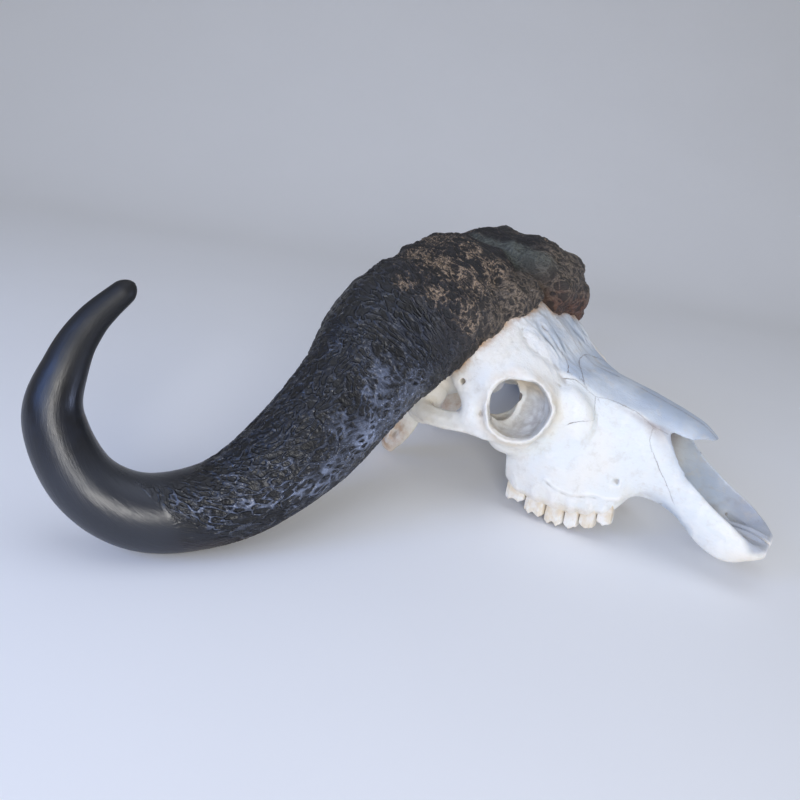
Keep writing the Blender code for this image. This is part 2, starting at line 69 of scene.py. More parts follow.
# Face and muzzle from nose to cheek. A row is x, then y,z pairs of half a section from the roof's middle,
# over the roof's edge, down the side and the tooth row's outer and inner edge, to the palate's middle.
FACE = (
    (-0.5, (0, 1.7, 1.3, 1.8, 2.3, 1.7, 2.9, 1.4, 2.9, 0.9, 2.3, 0.6, 1.3, 0.5, 0, 0.6)),
    (-2.0, (0, 1.9, 2.2, 2.1, 3.8, 2.6, 4.5, 1.9, 4.5, 0.9, 3.7, 0.3, 2.0, 0.2, 0, 0.4)),
    (-4.5, (0, 2.4, 2.6, 2.9, 4.5, 4.3, 5.2, 3.0, 5.1, 0.8, 4.3, -0.5, 2.3, -0.4, 0, 0.0)),
    (-7.5, (0, 4.2, 3.0, 4.6, 4.4, 6.1, 5.2, 4.2, 4.9, 1.7, 4.0, 0.2, 2.2, 0.3, 0, 0.6)),
    (-11.0, (0, 7.8, 3.0, 8.1, 4.2, 8.9, 4.9, 6.6, 4.7, 4.2, 3.6, 2.7, 1.9, 2.6, 0, 2.9)),
    (-14.0, (0, 12.8, 3.0, 12.8, 4.1, 12.2, 5.0, 9.2, 4.9, 5.8, 3.7, 3.8, 2.0, 3.5, 0, 3.8)),
    (-16.2, (0, 14.7, 2.4, 14.6, 4.4, 13.2, 5.5, 9.8, 5.5, 5.8, 4.6, 3.7, 2.6, 3.4, 0, 4.0)),
    (-18.0, (0, 15.2, 2.6, 15.0, 4.7, 13.6, 6.0, 10.0, 6.5, 5.2, 6.1, 1.7, 4.6, 1.6, 0, 4.0)),
    (-22.0, (0, 16.3, 3.2, 16.0, 5.5, 14.4, 7.2, 10.4, 8.0, 4.6, 7.1, 0.4, 4.9, 0.4, 0, 3.8)),
    (-26.0, (0, 18.0, 4.4, 17.6, 6.8, 15.8, 8.4, 11.4, 8.7, 5.2, 7.7, 0.6, 5.3, 0.6, 0, 3.8)),
    (-29.6, (0, 20.8, 5.0, 19.8, 7.0, 15.6, 7.6, 11.0, 8.3, 6.2, 7.7, 1.3, 5.6, 1.3, 0, 4.4)),
    (-31.6, (0, 20.0, 4.0, 17.5, 5.4, 13.0, 6.4, 9.6, 7.6, 6.6, 7.2, 2.6, 5.6, 2.5, 0, 5.2)),
)

# Forehead and braincase from the nose root to the nape: roof, side, temple and base of half a section.
CRANIUM = (
    (-26.4, (0, 18.0, 4.2, 17.7, 7.2, 16.4, 7.2, 15.4, 4.4, 14.6, 0, 14.6)),
    (-28.6, (0, 20.3, 5.4, 19.8, 9.6, 17.6, 9.4, 15.9, 5.4, 14.4, 0, 14.4)),
    (-31.2, (0, 22.5, 6.2, 21.9, 10.8, 18.6, 10.6, 16.2, 5.8, 14.4, 0, 14.2)),
    (-34.0, (0, 24.2, 7.4, 23.0, 12.0, 18.6, 11.4, 15.8, 6.0, 14.3, 0, 13.8)),
    (-37.0, (0, 24.8, 8.6, 23.6, 12.8, 18.4, 10.6, 14.6, 6.4, 13.0, 0, 12.4)),
    (-40.0, (0, 25.0, 9.4, 23.6, 12.8, 18.0, 9.4, 12.6, 6.6, 11.0, 0, 11.2)),
    (-43.5, (0, 25.0, 9.2, 23.4, 11.8, 17.4, 10.0, 11.4, 6.4, 9.4, 0, 9.5)),
    (-47.0, (0, 24.2, 8.4, 22.4, 10.6, 16.8, 9.8, 11.6, 6.0, 8.9, 0, 9.0)),
    (-49.6, (0, 21.4, 6.2, 20.0, 8.6, 15.6, 8.0, 11.4, 4.6, 9.2, 0, 9.0)),
    (-50.8, (0, 18.6, 4.0, 17.6, 5.6, 15.0, 5.2, 12.0, 3.0, 10.2, 0, 10.0)),
)

# Roof of the nose, both nasal bones with their free tips: top, edge and underside of half a section.
NASALS = (
    (-24.5, (0, 17.3, 2.0, 17.1, 3.2, 15.6, 1.6, 15.0, 0, 15.0)),
    (-21.0, (0, 16.5, 2.4, 16.1, 3.7, 14.7, 2.0, 14.4, 0, 14.6)),
    (-17.0, (0, 15.5, 2.4, 15.1, 3.7, 13.7, 2.1, 13.8, 0, 14.2)),
    (-13.6, (0, 14.5, 2.3, 14.1, 3.5, 12.5, 2.1, 12.9, 0, 13.4)),
    (-11.2, (0, 13.7, 2.0, 13.3, 3.1, 12.0, 1.8, 12.4, 0, 12.9)),
    (-10.2, (0, 13.2, 1.6, 12.9, 2.4, 12.1, 1.5, 12.1, 0, 12.5)),
    (-9.2, (0, 12.5, 1.2, 12.3, 1.6, 11.8, 1.1, 11.6, 0, 11.9)),
    (-8.2, (0, 11.7, 0.9, 11.5, 1.2, 11.2, 0.9, 10.8, 0, 11.1)),
    (-7.3, (0, 10.9, 0.8, 10.8, 1.0, 10.5, 0.7, 10.3, 0, 10.6)),
)

# Nose passage, open over the muzzle and at the throat: its roof, wall and floor of half a section.
PASSAGE = (
    (1.5, (0, 12.0, 3.6, 12.0, 4.1, 6.0, 4.1, 3.2, 2.0, 2.0, 0, 2.0)),
    (-2.5, (0, 12.0, 3.6, 12.0, 4.1, 6.0, 4.0, 3.0, 2.2, 2.0, 0, 2.0)),
    (-5.5, (0, 12.0, 3.6, 12.0, 4.2, 7.0, 4.2, 3.4, 2.6, 1.5, 0, 1.6)),
    (-8.5, (0, 12.0, 3.3, 12.0, 4.2, 8.0, 4.1, 4.0, 2.6, 1.9, 0, 2.0)),
    (-11.5, (0, 12.1, 3.1, 11.9, 4.2, 8.6, 4.0, 6.0, 2.6, 4.0, 0, 3.9)),
    (-14.5, (0, 12.8, 2.8, 12.2, 4.2, 9.0, 4.0, 6.4, 2.6, 4.8, 0, 4.7)),
    (-20.0, (0, 14.2, 3.0, 13.4, 4.8, 10.0, 4.6, 7.0, 2.8, 5.0, 0, 4.9)),
    (-26.0, (0, 13.8, 2.8, 13.0, 4.0, 10.0, 3.8, 7.4, 2.4, 5.2, 0, 5.0)),
    (-30.0, (0, 10.4, 1.6, 10.2, 2.4, 8.8, 2.4, 7.4, 1.8, 5.8, 0, 5.6)),
    (-34.0, (0, 9.6, 1.4, 9.4, 2.2, 8.4, 2.2, 7.4, 1.8, 5.6, 0, 5.0)),
)

# Eye socket: centre, outward axis, inner radius, half the rim's thickness, and depth
ORBIT_CENTRE = (-29.4, 11.5, 13.0)
ORBIT_AXIS = (0.33, 0.92, 0.20)
ORBIT_RADIUS = 3.5
ORBIT_RIM = 0.42
ORBIT_DEPTH = 5.0
# Points closer than this are one
WELD = 1e-4
# How far from the bone a horn is looked for, and what stands for no horn there
HORN_REACH = 4.0
FAR_FROM_HORN = 9.0

# Round or oval lumps of bone: centre, then radii along x, y and z. Each is made on both sides.
LUMPS = (
    ((-31.2, 8.0, 9.3), (3.6, 3.0, 3.7)),
    ((-30.6, 6.4, 15.2), (2.6, 1.2, 2.4)),
    ((-44.6, 9.4, 11.4), (2.8, 2.8, 2.6)),
    ((-42.4, 9.8, 11.6), (2.6, 2.2, 2.5)),
    ((-43.0, 9.4, 9.0), (2.6, 1.6, 2.4)),
    ((-50.6, 2.9, 10.4), (1.8, 1.8, 2.4)),
    ((-44.2, 4.6, 9.6), (1.9, 1.2, 1.4)),
    ((-26.0, 6.9, 11.6), (4.6, 1.9, 4.6)),
    ((-31.6, 10.7, 16.9), (3.4, 1.3, 1.3)),
    ((-33.6, 12.0, 14.4), (1.7, 0.9, 3.0)),
    ((-27.4, 8.9, 14.7), (1.6, 1.0, 1.8)),
    ((-27.8, 9.3, 10.2), (1.6, 0.9, 1.3)),
)

# Bars and ridges of bone on both sides. Each point is x, y, z, half height and half thickness.
CHEEK_ARCH = (
    (-27.5, 10.4, 8.6, 1.1, 0.9),
    (-31.0, 12.0, 9.2, 1.3, 0.8),
    (-34.5, 12.7, 9.9, 1.45, 0.7),
    (-38.0, 12.7, 9.5, 1.35, 0.75),
    (-41.2, 12.0, 9.4, 1.5, 0.9),
    (-44.0, 10.0, 9.8, 1.7, 1.4),
)
REAR_OF_ORBIT = (
    (-36.6, 11.6, 17.4, 2.8, 1.0),
    (-36.2, 12.2, 15.0, 2.3, 0.8),
    (-35.0, 12.8, 12.4, 1.25, 0.7),
    (-35.0, 12.9, 10.0, 1.3, 0.7),
)
JUGULAR_PROCESS = (
    (-45.8, 8.8, 11.0, 2.0, 1.4),
    (-46.2, 8.2, 8.0, 1.9, 1.2),
    (-47.4, 7.6, 5.0, 1.8, 0.9),
    (-48.8, 7.0, 2.2, 1.3, 0.65),
    (-49.8, 6.6, 0.2, 0.8, 0.5),
)
RIGHT_PROCESS_WIDER = 1.35
THROAT_PLATE = (
    (-31.4, 3.6, 13.0, 1.4, 0.5),
    (-31.2, 3.2, 8.6, 1.5, 0.45),
    (-30.8, 3.0, 4.6, 1.6, 0.45),
)
FACIAL_CREST = (
    (-28.2, 8.1, 6.4, 0.7, 0.4),
    (-24.6, 8.0, 4.3, 0.5, 0.5),
    (-21.0, 7.35, 3.8, 0.5, 0.5),
    (-18.6, 6.4, 4.1, 0.4, 0.3),
)
BARS = (CHEEK_ARCH, REAR_OF_ORBIT, THROAT_PLATE, FACIAL_CREST)
SKULL_BASE = (
    (-51.0, 0.0, 10.2, 1.0, 2.0),
    (-46.0, 0.0, 10.2, 1.2, 2.4),
    (-41.0, 0.0, 11.6, 1.3, 2.4),
    (-36.5, 0.0, 14.0, 1.2, 2.2),
)

# Thin rods on the muzzle's floor, beside the slit between the front bones
PALATE_ROD = (
    (-13.4, 0.85, 5.3, 0.35, 0.45),
    (-9.5, 0.80, 3.0, 0.50, 0.42),
    (-6.0, 0.72, 2.15, 0.55, 0.38),
    (-3.2, 0.70, 2.10, 0.50, 0.34),
    (-1.2, 0.95, 1.85, 0.35, 0.36),
)

# Holes: centre, radii, then the pitch and turn of the long axis in degrees. Made on both sides.
TEMPLE_HOLE = (-36.3, 12.9, 14.9)
HOLES = (
    ((-17.8, 6.3, 5.75), (0.26, 0.60, 0.42), 0, 40),
    ((-33.2, 7.9, 12.6), (3.6, 2.3, 2.9), -17, 66),
    ((-5.2, 3.2, 1.0), (1.9, 0.26, 2.2), 0, -20),
    (TEMPLE_HOLE, (0.34, 1.4, 0.36), 0, 0),
    ((-30.3, 4.6, 21.9), (0.45, 0.35, 1.2), 20, 0),
    ((-27.4, 7.4, 17.7), (0.2, 0.25, 0.6), 0, 0),
    ((-17.7, 6.1, 9.5), (0.14, 0.5, 0.14), 0, 0),
    ((-31.8, 7.0, 12.4), (0.5, 0.9, 0.5), 0, 30),
    ((-24.6, 4.6, 4.4), (0.5, 0.3, 0.9), 30, 0),
    ((-47.6, 4.6, 8.8), (0.7, 0.4, 1.0), 0, 0),
)
MIDDLE_HOLES = (
    ((-50.0, 0.0, 13.0), (3.6, 1.9, 1.6), -12, 0),
    ((-46.0, 0.0, 15.0), (4.6, 4.0, 2.8), 0, 0),
    ((-1.2, 0.15, 1.2), (2.6, 0.28, 2.4), 0, 0),
)

# Hollows and ridges pressed into the bone on both sides: half width, depth (raised when negative), path.
RELIEFS = (
    (0.62, 0.34, ((-31.8, 7.6, 21.5), (-31.0, 8.2, 20.7), (-29.6, 8.1, 19.6), (-28.1, 7.2, 18.5),
                  (-27.0, 6.5, 17.5), (-26.5, 6.6, 16.9), (-25.8, 6.9, 15.5))),
    (1.50, 0.26, ((-30.7, 1.6, 22.1), (-29.6, 2.0, 21.2), (-28.5, 2.3, 20.2), (-27.4, 2.4, 19.2),
                  (-26.2, 2.3, 18.2), (-24.9, 2.2, 17.4))),
    (0.80, 0.12, ((-31.4, 5.0, 22.4), (-30.3, 5.3, 21.4), (-29.2, 5.3, 20.4), (-28.3, 4.6, 19.6),
                  (-27.3, 3.9, 18.8))),
    (0.85, -0.12, ((-30.9, 6.6, 21.6), (-29.7, 6.8, 20.6), (-28.3, 6.0, 19.5), (-27.0, 5.2, 18.4),
                   (-25.6, 5.0, 17.2))),
    (0.65, -0.10, ((-31.4, 3.4, 22.6), (-29.8, 3.7, 21.4), (-28.4, 3.6, 20.3), (-26.8, 3.2, 19.0))),
    (0.30, 0.12, ((-26.4, 7.9, 16.5), (-25.9, 7.4, 15.2), (-25.3, 7.0, 14.0))),
    (0.30, -0.17, ((-25.5, 8.6, 4.2), (-24.5, 8.4, 3.7), (-23.3, 8.3, 3.35), (-22.0, 7.9, 3.3),
                   (-20.1, 7.6, 3.7), (-18.4, 6.7, 3.5), (-17.2, 5.8, 3.6))),
    (0.28, 0.11, ((-25.3, 8.6, 3.6), (-23.3, 8.3, 2.85), (-21.6, 7.9, 2.9), (-19.6, 7.3, 3.2))),
    (0.50, 0.16, ((-37.4, 13.2, 10.4), (-40.0, 12.9, 10.2), (-42.4, 11.6, 10.0))),
    (0.35, -0.12, ((-35.4, 13.2, 9.0), (-38.0, 13.3, 8.6), (-40.8, 12.7, 8.4))),
    (0.36, 0.34, ((-43.9, 11.0, 10.3), (-45.4, 10.0, 7.4), (-46.6, 9.0, 5.0), (-48.2, 7.9, 2.8))),
    (0.28, -0.26, ((-44.9, 10.9, 10.0), (-46.6, 9.6, 7.0), (-48.2, 8.4, 4.2), (-49.3, 7.3, 1.8))),
    (0.80, 0.20, ((-50.6, 3.2, 16.0), (-50.0, 5.4, 17.6), (-49.0, 7.2, 18.6))),
    (0.60, -0.25, ((-50.4, 0.0, 21.0), (-50.9, 0.0, 19.0), (-51.0, 0.0, 17.0))),
    (0.55, -0.22, ((-47.6, 8.9, 20.8), (-48.7, 6.6, 21.6), (-49.4, 3.4, 21.8), (-49.6, 0.0, 21.8))),
    (0.30, 0.10, ((-8.5, 4.6, 4.4), (-6.0, 4.9, 3.0), (-3.4, 4.5, 2.2))),
    (0.50, 0.14, ((-6.5, 1.6, 0.2), (-10.0, 1.3, 1.7), (-14.0, 1.3, 3.4), (-19.0, 2.2, 3.9),
                  (-24.6, 4.4, 4.2))),
)

# Joints between the bones: x, y, z on both sides
SUTURES = (
    ((-25.8, 6.1, 16.5), (-24.9, 5.6, 16.4), (-23.6, 5.4, 15.6), (-22.4, 5.2, 15.0), (-21.2, 4.6, 14.9),
     (-19.5, 4.3, 14.6), (-17.7, 4.1, 14.1), (-16.6, 4.2, 13.6), (-15.4, 4.2, 13.0), (-14.2, 3.8, 12.5)),
    ((-25.5, 3.3, 17.5), (-24.7, 4.4, 16.9), (-24.0, 5.2, 16.1), (-23.6, 5.3, 15.7)),
    ((-25.5, 3.3, 17.5), (-26.2, 1.8, 18.1), (-26.4, 0.0, 18.3)),
    ((-22.4, 5.3, 14.9), (-22.2, 5.9, 13.8), (-22.1, 6.5, 12.6), (-22.9, 7.8, 12.4), (-23.9, 9.1, 11.9),
     (-24.8, 9.4, 10.8)),
    ((-15.4, 4.3, 12.9), (-15.3, 4.9, 11.2), (-14.2, 5.0, 9.4), (-13.3, 5.0, 8.0), (-12.4, 4.9, 6.8),
     (-11.4, 4.8, 5.1)),
    ((-12.9, 3.6, 3.8), (-13.6, 2.2, 3.7), (-14.6, 0.0, 3.8)),
    ((-23.8, 5.0, 3.2), (-24.6, 2.4, 4.0), (-25.0, 0.0, 4.1)),
)
MIDDLE_SUTURES = (
    ((-8.2, 0.0, 11.4), (-11.2, 0.0, 13.7), (-17.0, 0.0, 15.5), (-24.5, 0.0, 17.4), (-28.0, 0.0, 19.8),
     (-31.2, 0.0, 22.6)),
    ((-12.0, 0.0, 3.2), (-18.0, 0.0, 4.0), (-24.0, 0.0, 3.8), (-30.0, 0.0, 4.4)),
)
RIGHT_CRACKS = (
    ((-27.4, -4.5, 18.9), (-26.6, -4.9, 18.0), (-26.3, -5.4, 17.4)),
)

# Horn sheath: centre line x, y, z, half width, half thickness, front edge's droop in degrees, squareness.
HORN = (
    (-41.4, 0.0, 23.8, 8.7, 5.3, 12, 3.0),
    (-41.5, 6.0, 23.6, 8.7, 5.7, 20, 2.5),
    (-42.5, 12.1, 22.0, 8.0, 5.0, 32, 2.2),
    (-44.2, 18.2, 18.6, 7.6, 5.4, 46, 2.2),
    (-44.5, 24.3, 13.8, 6.3, 4.9, 50, 2.1),
    (-45.4, 31.2, 9.0, 5.6, 4.9, 45, 2.0),
    (-48.1, 38.7, 4.7, 4.6, 4.3, 30, 2.0),
    (-52.5, 45.6, 3.75, 4.1, 3.95, 0, 2.0),
    (-56.6, 49.8, 6.85, 3.4, 3.3, 0, 2.0),
    (-59.8, 50.9, 12.95, 2.9, 2.8, 0, 2.0),
    (-59.8, 49.3, 18.2, 2.1, 2.05, 0, 2.0),
    (-58.9, 47.2, 22.1, 1.6, 1.55, 0, 2.0),
    (-57.0, 44.0, 25.7, 1.1, 1.1, 0, 2.0),
)
# The left boss reaches further over the forehead: its own first rows.
LEFT_BOSS = (
    (-40.0, 0.0, 25.5, 9.9, 5.4, 0, 2.4),
    (-39.9, 6.0, 25.2, 10.3, 5.7, 6, 2.2),
    (-41.8, 12.1, 22.4, 8.8, 5.3, 30, 2.2),
)
# Gap between the two horns, how deep the bosses dip to it, and how far from it the dip starts
BOSS_CLEFT = 0.03
CLEFT_DIP = 1.5
CLEFT_SPREAD = 3.2
# Length of the rounded end of the tip
TIP_LENGTH = 1.0
# Row numbers at which the lumps have faded out, and the rough part ends
LUMPY_ROWS = 4.0
ROUGH_END = 6.3
# Eyes that the ridges run round: a row number, degrees round from the front edge, and a radius
EYES = (
    (2.96, 80, 0.9), (3.70, 112, 1.3), (4.08, 82, 0.8), (4.9, 96, 0.9), (2.35, 98, 0.8), (5.6, 70, 0.8),
    (3.3, 55, 0.8),
)
# Pale patches on the boss: place, reach
PATCHES = (
    ((-45.3, 12.0, 28.3), 2.2), ((-43.1, 11.6, 27.8), 2.6), ((-41.0, 11.4, 27.5), 2.8),
    ((-39.8, 7.1, 29.3), 2.4), ((-37.4, 7.4, 27.5), 2.8), ((-37.6, 10.7, 26.2), 2.6),
    ((-39.8, 15.2, 25.2), 1.8), ((-43.2, 17.7, 25.9), 1.4), ((-36.7, 13.3, 23.8), 2.1),
    ((-36.0, 13.1, 22.2), 1.7), ((-33.2, 6.8, 24.6), 2.0), ((-37.0, 5.8, 28.5), 2.2),
    ((-45.0, 6.0, 29.0), 3.0), ((-48.5, 11.0, 25.5), 2.4),
)
# The right horn's long crack: its line, and how far beside it the colour changes
HORN_CRACK = (
    (-57.6, -49.3, 13.6), (-57.0, -49.0, 12.2), (-56.2, -48.6, 10.5), (-55.1, -47.7, 8.9),
    (-54.2, -46.9, 8.0),
)
CRACK_REACH = 0.8

# Cheek teeth from front to back: name number, middle x, middle y, chewing face z, length, width, lobes.
TEETH = (
    (1, -18.4, 5.45, -0.4, 1.75, 1.5, 1),
    (2, -20.3, 5.85, -1.3, 1.85, 1.8, 1),
    (3, -22.15, 6.15, -1.85, 1.65, 2.0, 1),
    (4, -24.25, 6.4, -1.95, 2.3, 2.1, 2),
    (5, -26.85, 6.55, -1.5, 2.6, 2.2, 2),
    (6, -29.6, 6.55, -0.5, 2.6, 2.1, 2),
)

# Mesh densities and rounds of smoothing
CLAY_SMOOTHING = 44
CUT_SMOOTHING = 3
SURROUND_SMOOTHING = 220
SMOOTHING_STEPS = 8
HORN_ALONG = 388
HORN_AROUND = 252
HORN_PATH_SAMPLES = 2001
TOOTH_AROUND = 96
TOOTH_WALL_RINGS = 26
TOOTH_FACE_RINGS = 22

# Soft lamps: name, azimuth from the front, height angle, distance, size, power, colour
LAMPS = (
    ("front", 31, 18, 2.6, 0.9, 18.0, "fffdfa"),
    ("middle", 5, 24, 2.6, 0.9, 7.0, "d2e0ff"),
    ("sky", -20, 26, 2.5, 1.0, 8.5, "82acff"),
    ("side", 116, 2, 2.2, 0.35, 9.0, "bfd0ff"),
    ("top", 20, 84, 2.4, 2.4, 8.0, "e2ebff"),
)

# Camera at the photograph's viewing angle
CAMERA_PLACE = (0.3291, -0.9395, 0.4596)
CAMERA_TURN = (69.170, -9.074, 33.028)
SENSOR_WIDTH = 36.0

# Floor: half its width, its cells, where it starts to curve up into the backdrop behind the skull, how fast
FLOOR_HALF = 8.0
FLOOR_CELLS = 160
SWEEP_START = 1.4
SWEEP_RISE = 0.45


def hex_colour(text):
    """Linear red, green and blue of an sRGB hex value."""
    values = [int(text[i:i + 2], 16) / 255 for i in (0, 2, 4)]
    return tuple(v / 12.92 if v <= 0.04045 else ((v + 0.055) / 1.055) ** 2.4 for v in values)


def smoothstep(low, high, value):
    t = np.clip((value - low) / (high - low), 0, 1)
    return t * t * (3 - 2 * t)


def noise_at(points, size, offset=0.0):
    """Smooth noise from about -1 to 1 at each point; size is a bump's width, one number or x, y, z."""
    scaled = np.asarray(points) / np.asarray(size) + offset
    return np.array([noise.noise(point) for point in scaled.tolist()])


def ridges_at(points, size, offset=0.0, width=0.3):
    """Thin ridges along the zero lines of a smooth noise."""
    return 1 - smoothstep(0, width, np.abs(noise_at(points, size, offset)))


def path_distance(points, path, reach=2.0):
    """Distance to a line of straight pieces, up to the reach."""
    return seam_distance(points, points, path, reach)[0]


def seam_distance(points, normals, path, reach=1.0):
    """Distance to a line of straight pieces, and how far it is to the line's left on the surface."""
    path = np.asarray(path, float)
    distance, sideways = np.full(len(points), reach), np.full(len(points), reach)
    low, high = path.min(axis=0) - reach, path.max(axis=0) + reach
    inside = np.nonzero(np.all((points > low) & (points < high), axis=1))[0]
    near, facing = points[inside], normals[inside]
    found, offset = distance[inside], sideways[inside]
    for a, b in zip(path, path[1:]):
        way = b - a
        t = np.clip((near - a) @ way / (way @ way), 0, 1)
        gap = near - (a + t[:, None] * way)
        length = np.linalg.norm(gap, axis=1)
        across = np.cross(facing, way)
        across /= np.maximum(np.linalg.norm(across, axis=1), 1e-6)[:, None]
        closer = length < found
        offset = np.where(closer, np.einsum("ij,ij->i", across, gap), offset)
        found = np.where(closer, length, found)
    distance[inside], sideways[inside] = found, offset
    return distance, sideways


def smooth_path(path, steps=6):
    """Rounded version of a line of straight pieces."""
    return between(path, np.linspace(0, len(path) - 1, (len(path) - 1) * steps + 1))


def between(rows, where):
    """Smooth values between the rows of a table, at row numbers that need not be whole."""
    rows = np.asarray(rows, float)
    rows = np.vstack([2 * rows[0] - rows[1], rows, 2 * rows[-1] - rows[-2]])
    first = np.clip(np.floor(where).astype(int), 0, len(rows) - 4)
    s = (np.asarray(where) - first)[:, None]
    a, b, c, d = rows[first], rows[first + 1], rows[first + 2], rows[first + 3]
    return 0.5 * (2 * b + (c - a) * s + (2 * a - 5 * b + 4 * c - d) * s**2 + (3 * b - a - 3 * c + d) * s**3)


def add_skin(bm, rings):
    """Lay a grid round the rings, weld its seam and close both ends."""
    rings = np.asarray(rings)
    along, around = rings.shape[:2]
    verts = bmesh.ops.create_grid(bm, x_segments=around, y_segments=along - 1, size=1)["verts"]
    row = around + 1
    seam = {}
    for j in range(along):
        for i in range(row):
            verts[j * row + i].co = rings[j, i % around]
        seam[verts[j * row + around]] = verts[j * row]
    bmesh.ops.weld_verts(bm, targetmap=seam)
    kept = [vert for vert in verts if vert.is_valid]
    ends = dict.fromkeys(edge for vert in kept for edge in vert.link_edges if edge.is_boundary)
    bmesh.ops.edgeloop_fill(bm, edges=list(ends))
    faces = dict.fromkeys(face for vert in kept for face in vert.link_faces)
    bmesh.ops.recalc_face_normals(bm, faces=list(faces))


def new_object(name, bm):
    mesh = bpy.data.meshes.new(name)
    bm.to_mesh(mesh)
    bm.free()
    obj = bpy.data.objects.new(name, mesh)
    bpy.context.scene.collection.objects.link(obj)
    return obj


def bake(obj):
    """Replace the mesh by what the modifiers make of it."""
    graph = bpy.context.evaluated_depsgraph_get()
    mesh = bpy.data.meshes.new_from_object(obj.evaluated_get(graph))
    obj.modifiers.clear()
    obj.data = mesh


def centimetres(length):
    """A length in metres, as the add-on keeps it, in centimetres, without the last digits' noise."""
    return round(length / CM, 6)


def vertex_array(mesh, what="co"):
    values = np.empty(len(mesh.vertices) * 3, np.float32)
    if what == "normal":
        mesh.vertex_normals.foreach_get("vector", values)
    else:
        mesh.vertices.foreach_get("co", values)
    return values.reshape(-1, 3).astype(float)


def set_vertices(mesh, points):
    mesh.vertices.foreach_set("co", np.asarray(points, np.float32).ravel())
    mesh.update()


def store(mesh, name, values):
    """Keep a number, or a vector, for each vertex under a name that the materials read."""
    kind, field = ("FLOAT", "value") if values.ndim == 1 else ("FLOAT_VECTOR", "vector")
    attribute = mesh.attributes.new(name, kind, "POINT")
    attribute.data.foreach_set(field, np.asarray(values, np.float32).ravel())


def finish_piece(obj, material, body, slot, *nodes):
    """Smooth shading, material, the body it rides on and the solids it stands for."""
    obj.data.materials.clear()
    obj.data.materials.append(material)
    obj.data.shade_smooth()
    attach(obj, body)
    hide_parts(*nodes)


# Bone

def half_ring(points):
    """Ring of y,z pairs from half a section that starts and ends in the middle plane."""
    half = np.reshape(points, (-1, 2))
    return np.vstack([half, half[-2:0:-1] * (-1, 1)])


def add_loft(bm, sections, along=6, around=6):
    stations = np.array([x for x, _ in sections])
    rings = np.array([half_ring(points).ravel() for _, points in sections])
    where = np.linspace(0, len(sections) - 1, (len(sections) - 1) * along + 1)
    xs = between(stations[:, None], where)[:, 0]
    skin = []
    for x, flat in zip(xs, between(rings, where)):
        ring = flat.reshape(-1, 2)
        closed = np.vstack([ring[-1], ring, ring[0], ring[1]])
        ring = between(closed, np.arange(0, len(ring), 1.0 / around) + 1)
        skin.append([(x, y, z) for y, z in ring])
    add_skin(bm, skin)


def add_bar(bm, points, side, along=6, around=20, wider=1.0):
    """Oval bar along a smooth path."""
    where = np.linspace(0, len(points) - 1, (len(points) - 1) * along + 1)
    rows = between(points, where) * (1, side, 1, wider, 1)
    heading = np.gradient(rows[:, :3], axis=0)
    heading /= np.linalg.norm(heading, axis=1)[:, None]
    out = np.array((0.0, 1.0, 0.0)) - heading * heading[:, 1:2]
    out /= np.linalg.norm(out, axis=1)[:, None]
    up = np.cross(heading, out)
    turns = np.linspace(0, TAU, around, endpoint=False)
    skin = (
        rows[:, None, :3]
        + out[:, None] * rows[:, 4, None, None] * np.cos(turns)[None, :, None]
        + up[:, None] * rows[:, 3, None, None] * np.sin(turns)[None, :, None]
    )
    add_skin(bm, skin)


def add_lump(bm, centre, radii, side=1, pitch=0.0, turn=0.0, segments=24):
    x, y, z = centre
    place = (
        Matrix.Translation((x, y * side, z))
        @ Matrix.Rotation(math.radians(turn * side), 4, "Z")
        @ Matrix.Rotation(math.radians(pitch), 4, "Y")
        @ Matrix.Diagonal((*radii, 1))
    )
    bmesh.ops.create_uvsphere(bm, u_segments=segments, v_segments=segments // 2, radius=1, matrix=place)


def orbit_matrix(side):
    """Frame with z along the orbit's axis, pointing out of the skull."""
    x, y, z = ORBIT_CENTRE
    ax, ay, az = ORBIT_AXIS
    outward = Vector((ax, ay * side, az))
    return Matrix.Translation((x, y * side, z)) @ outward.to_track_quat("Z", "Y").to_matrix().to_4x4()


def add_orbit_rim(bm, side, around=72, section=20):
    """Raised ring of bone round the eye socket: an oval spun about the socket's axis."""
    place = orbit_matrix(side)
    oval = Matrix.Translation((ORBIT_RADIUS + ORBIT_RIM, 0, -0.9)) @ Matrix.Diagonal((ORBIT_RIM, 1, 1.6, 1))
    upright = Matrix.Rotation(math.radians(90), 4, "X")
    ring = bmesh.ops.create_circle(bm, segments=section, radius=1, matrix=place @ oval @ upright)["verts"]
    edges = list(dict.fromkeys(edge for vert in ring for edge in vert.link_edges))
    axis = place.to_3x3() @ Vector((0, 0, 1))
    bmesh.ops.spin(
        bm, geom=ring + edges, cent=place.translation, axis=axis, angle=TAU, steps=around, use_merge=True
    )
    bmesh.ops.remove_doubles(bm, verts=bm.verts, dist=WELD)


def bone_clay(voxel):
    """All bones laid over each other, melted into one skin and smoothed."""
    bm = bmesh.new()
    for side in (-1, 1):
        add_orbit_rim(bm, side)
    bmesh.ops.recalc_face_normals(bm, faces=bm.faces)
    for table in (FACE, CRANIUM, NASALS):
        add_loft(bm, table)
    add_bar(bm, SKULL_BASE, 1)
    for side in (-1, 1):
        for bar in BARS:
            add_bar(bm, bar, side)
        add_bar(bm, JUGULAR_PROCESS, side, wider=RIGHT_PROCESS_WIDER if side < 0 else 1.0)
        for centre, radii in LUMPS:
            add_lump(bm, centre, radii, side)
    obj = new_object("skull_bone", bm)
    soften(obj, voxel, CLAY_SMOOTHING)
    return obj


def boolean(obj, bm, operation="DIFFERENCE"):
    """Cut the shape in bm out of the object, or join it on."""
    cutter = new_object("cutter", bm)
    modifier = obj.modifiers.new("Boolean", "BOOLEAN")
    modifier.operation = operation
    modifier.solver = "MANIFOLD"
    modifier.object = cutter
    bake(obj)
    bpy.data.objects.remove(cutter)


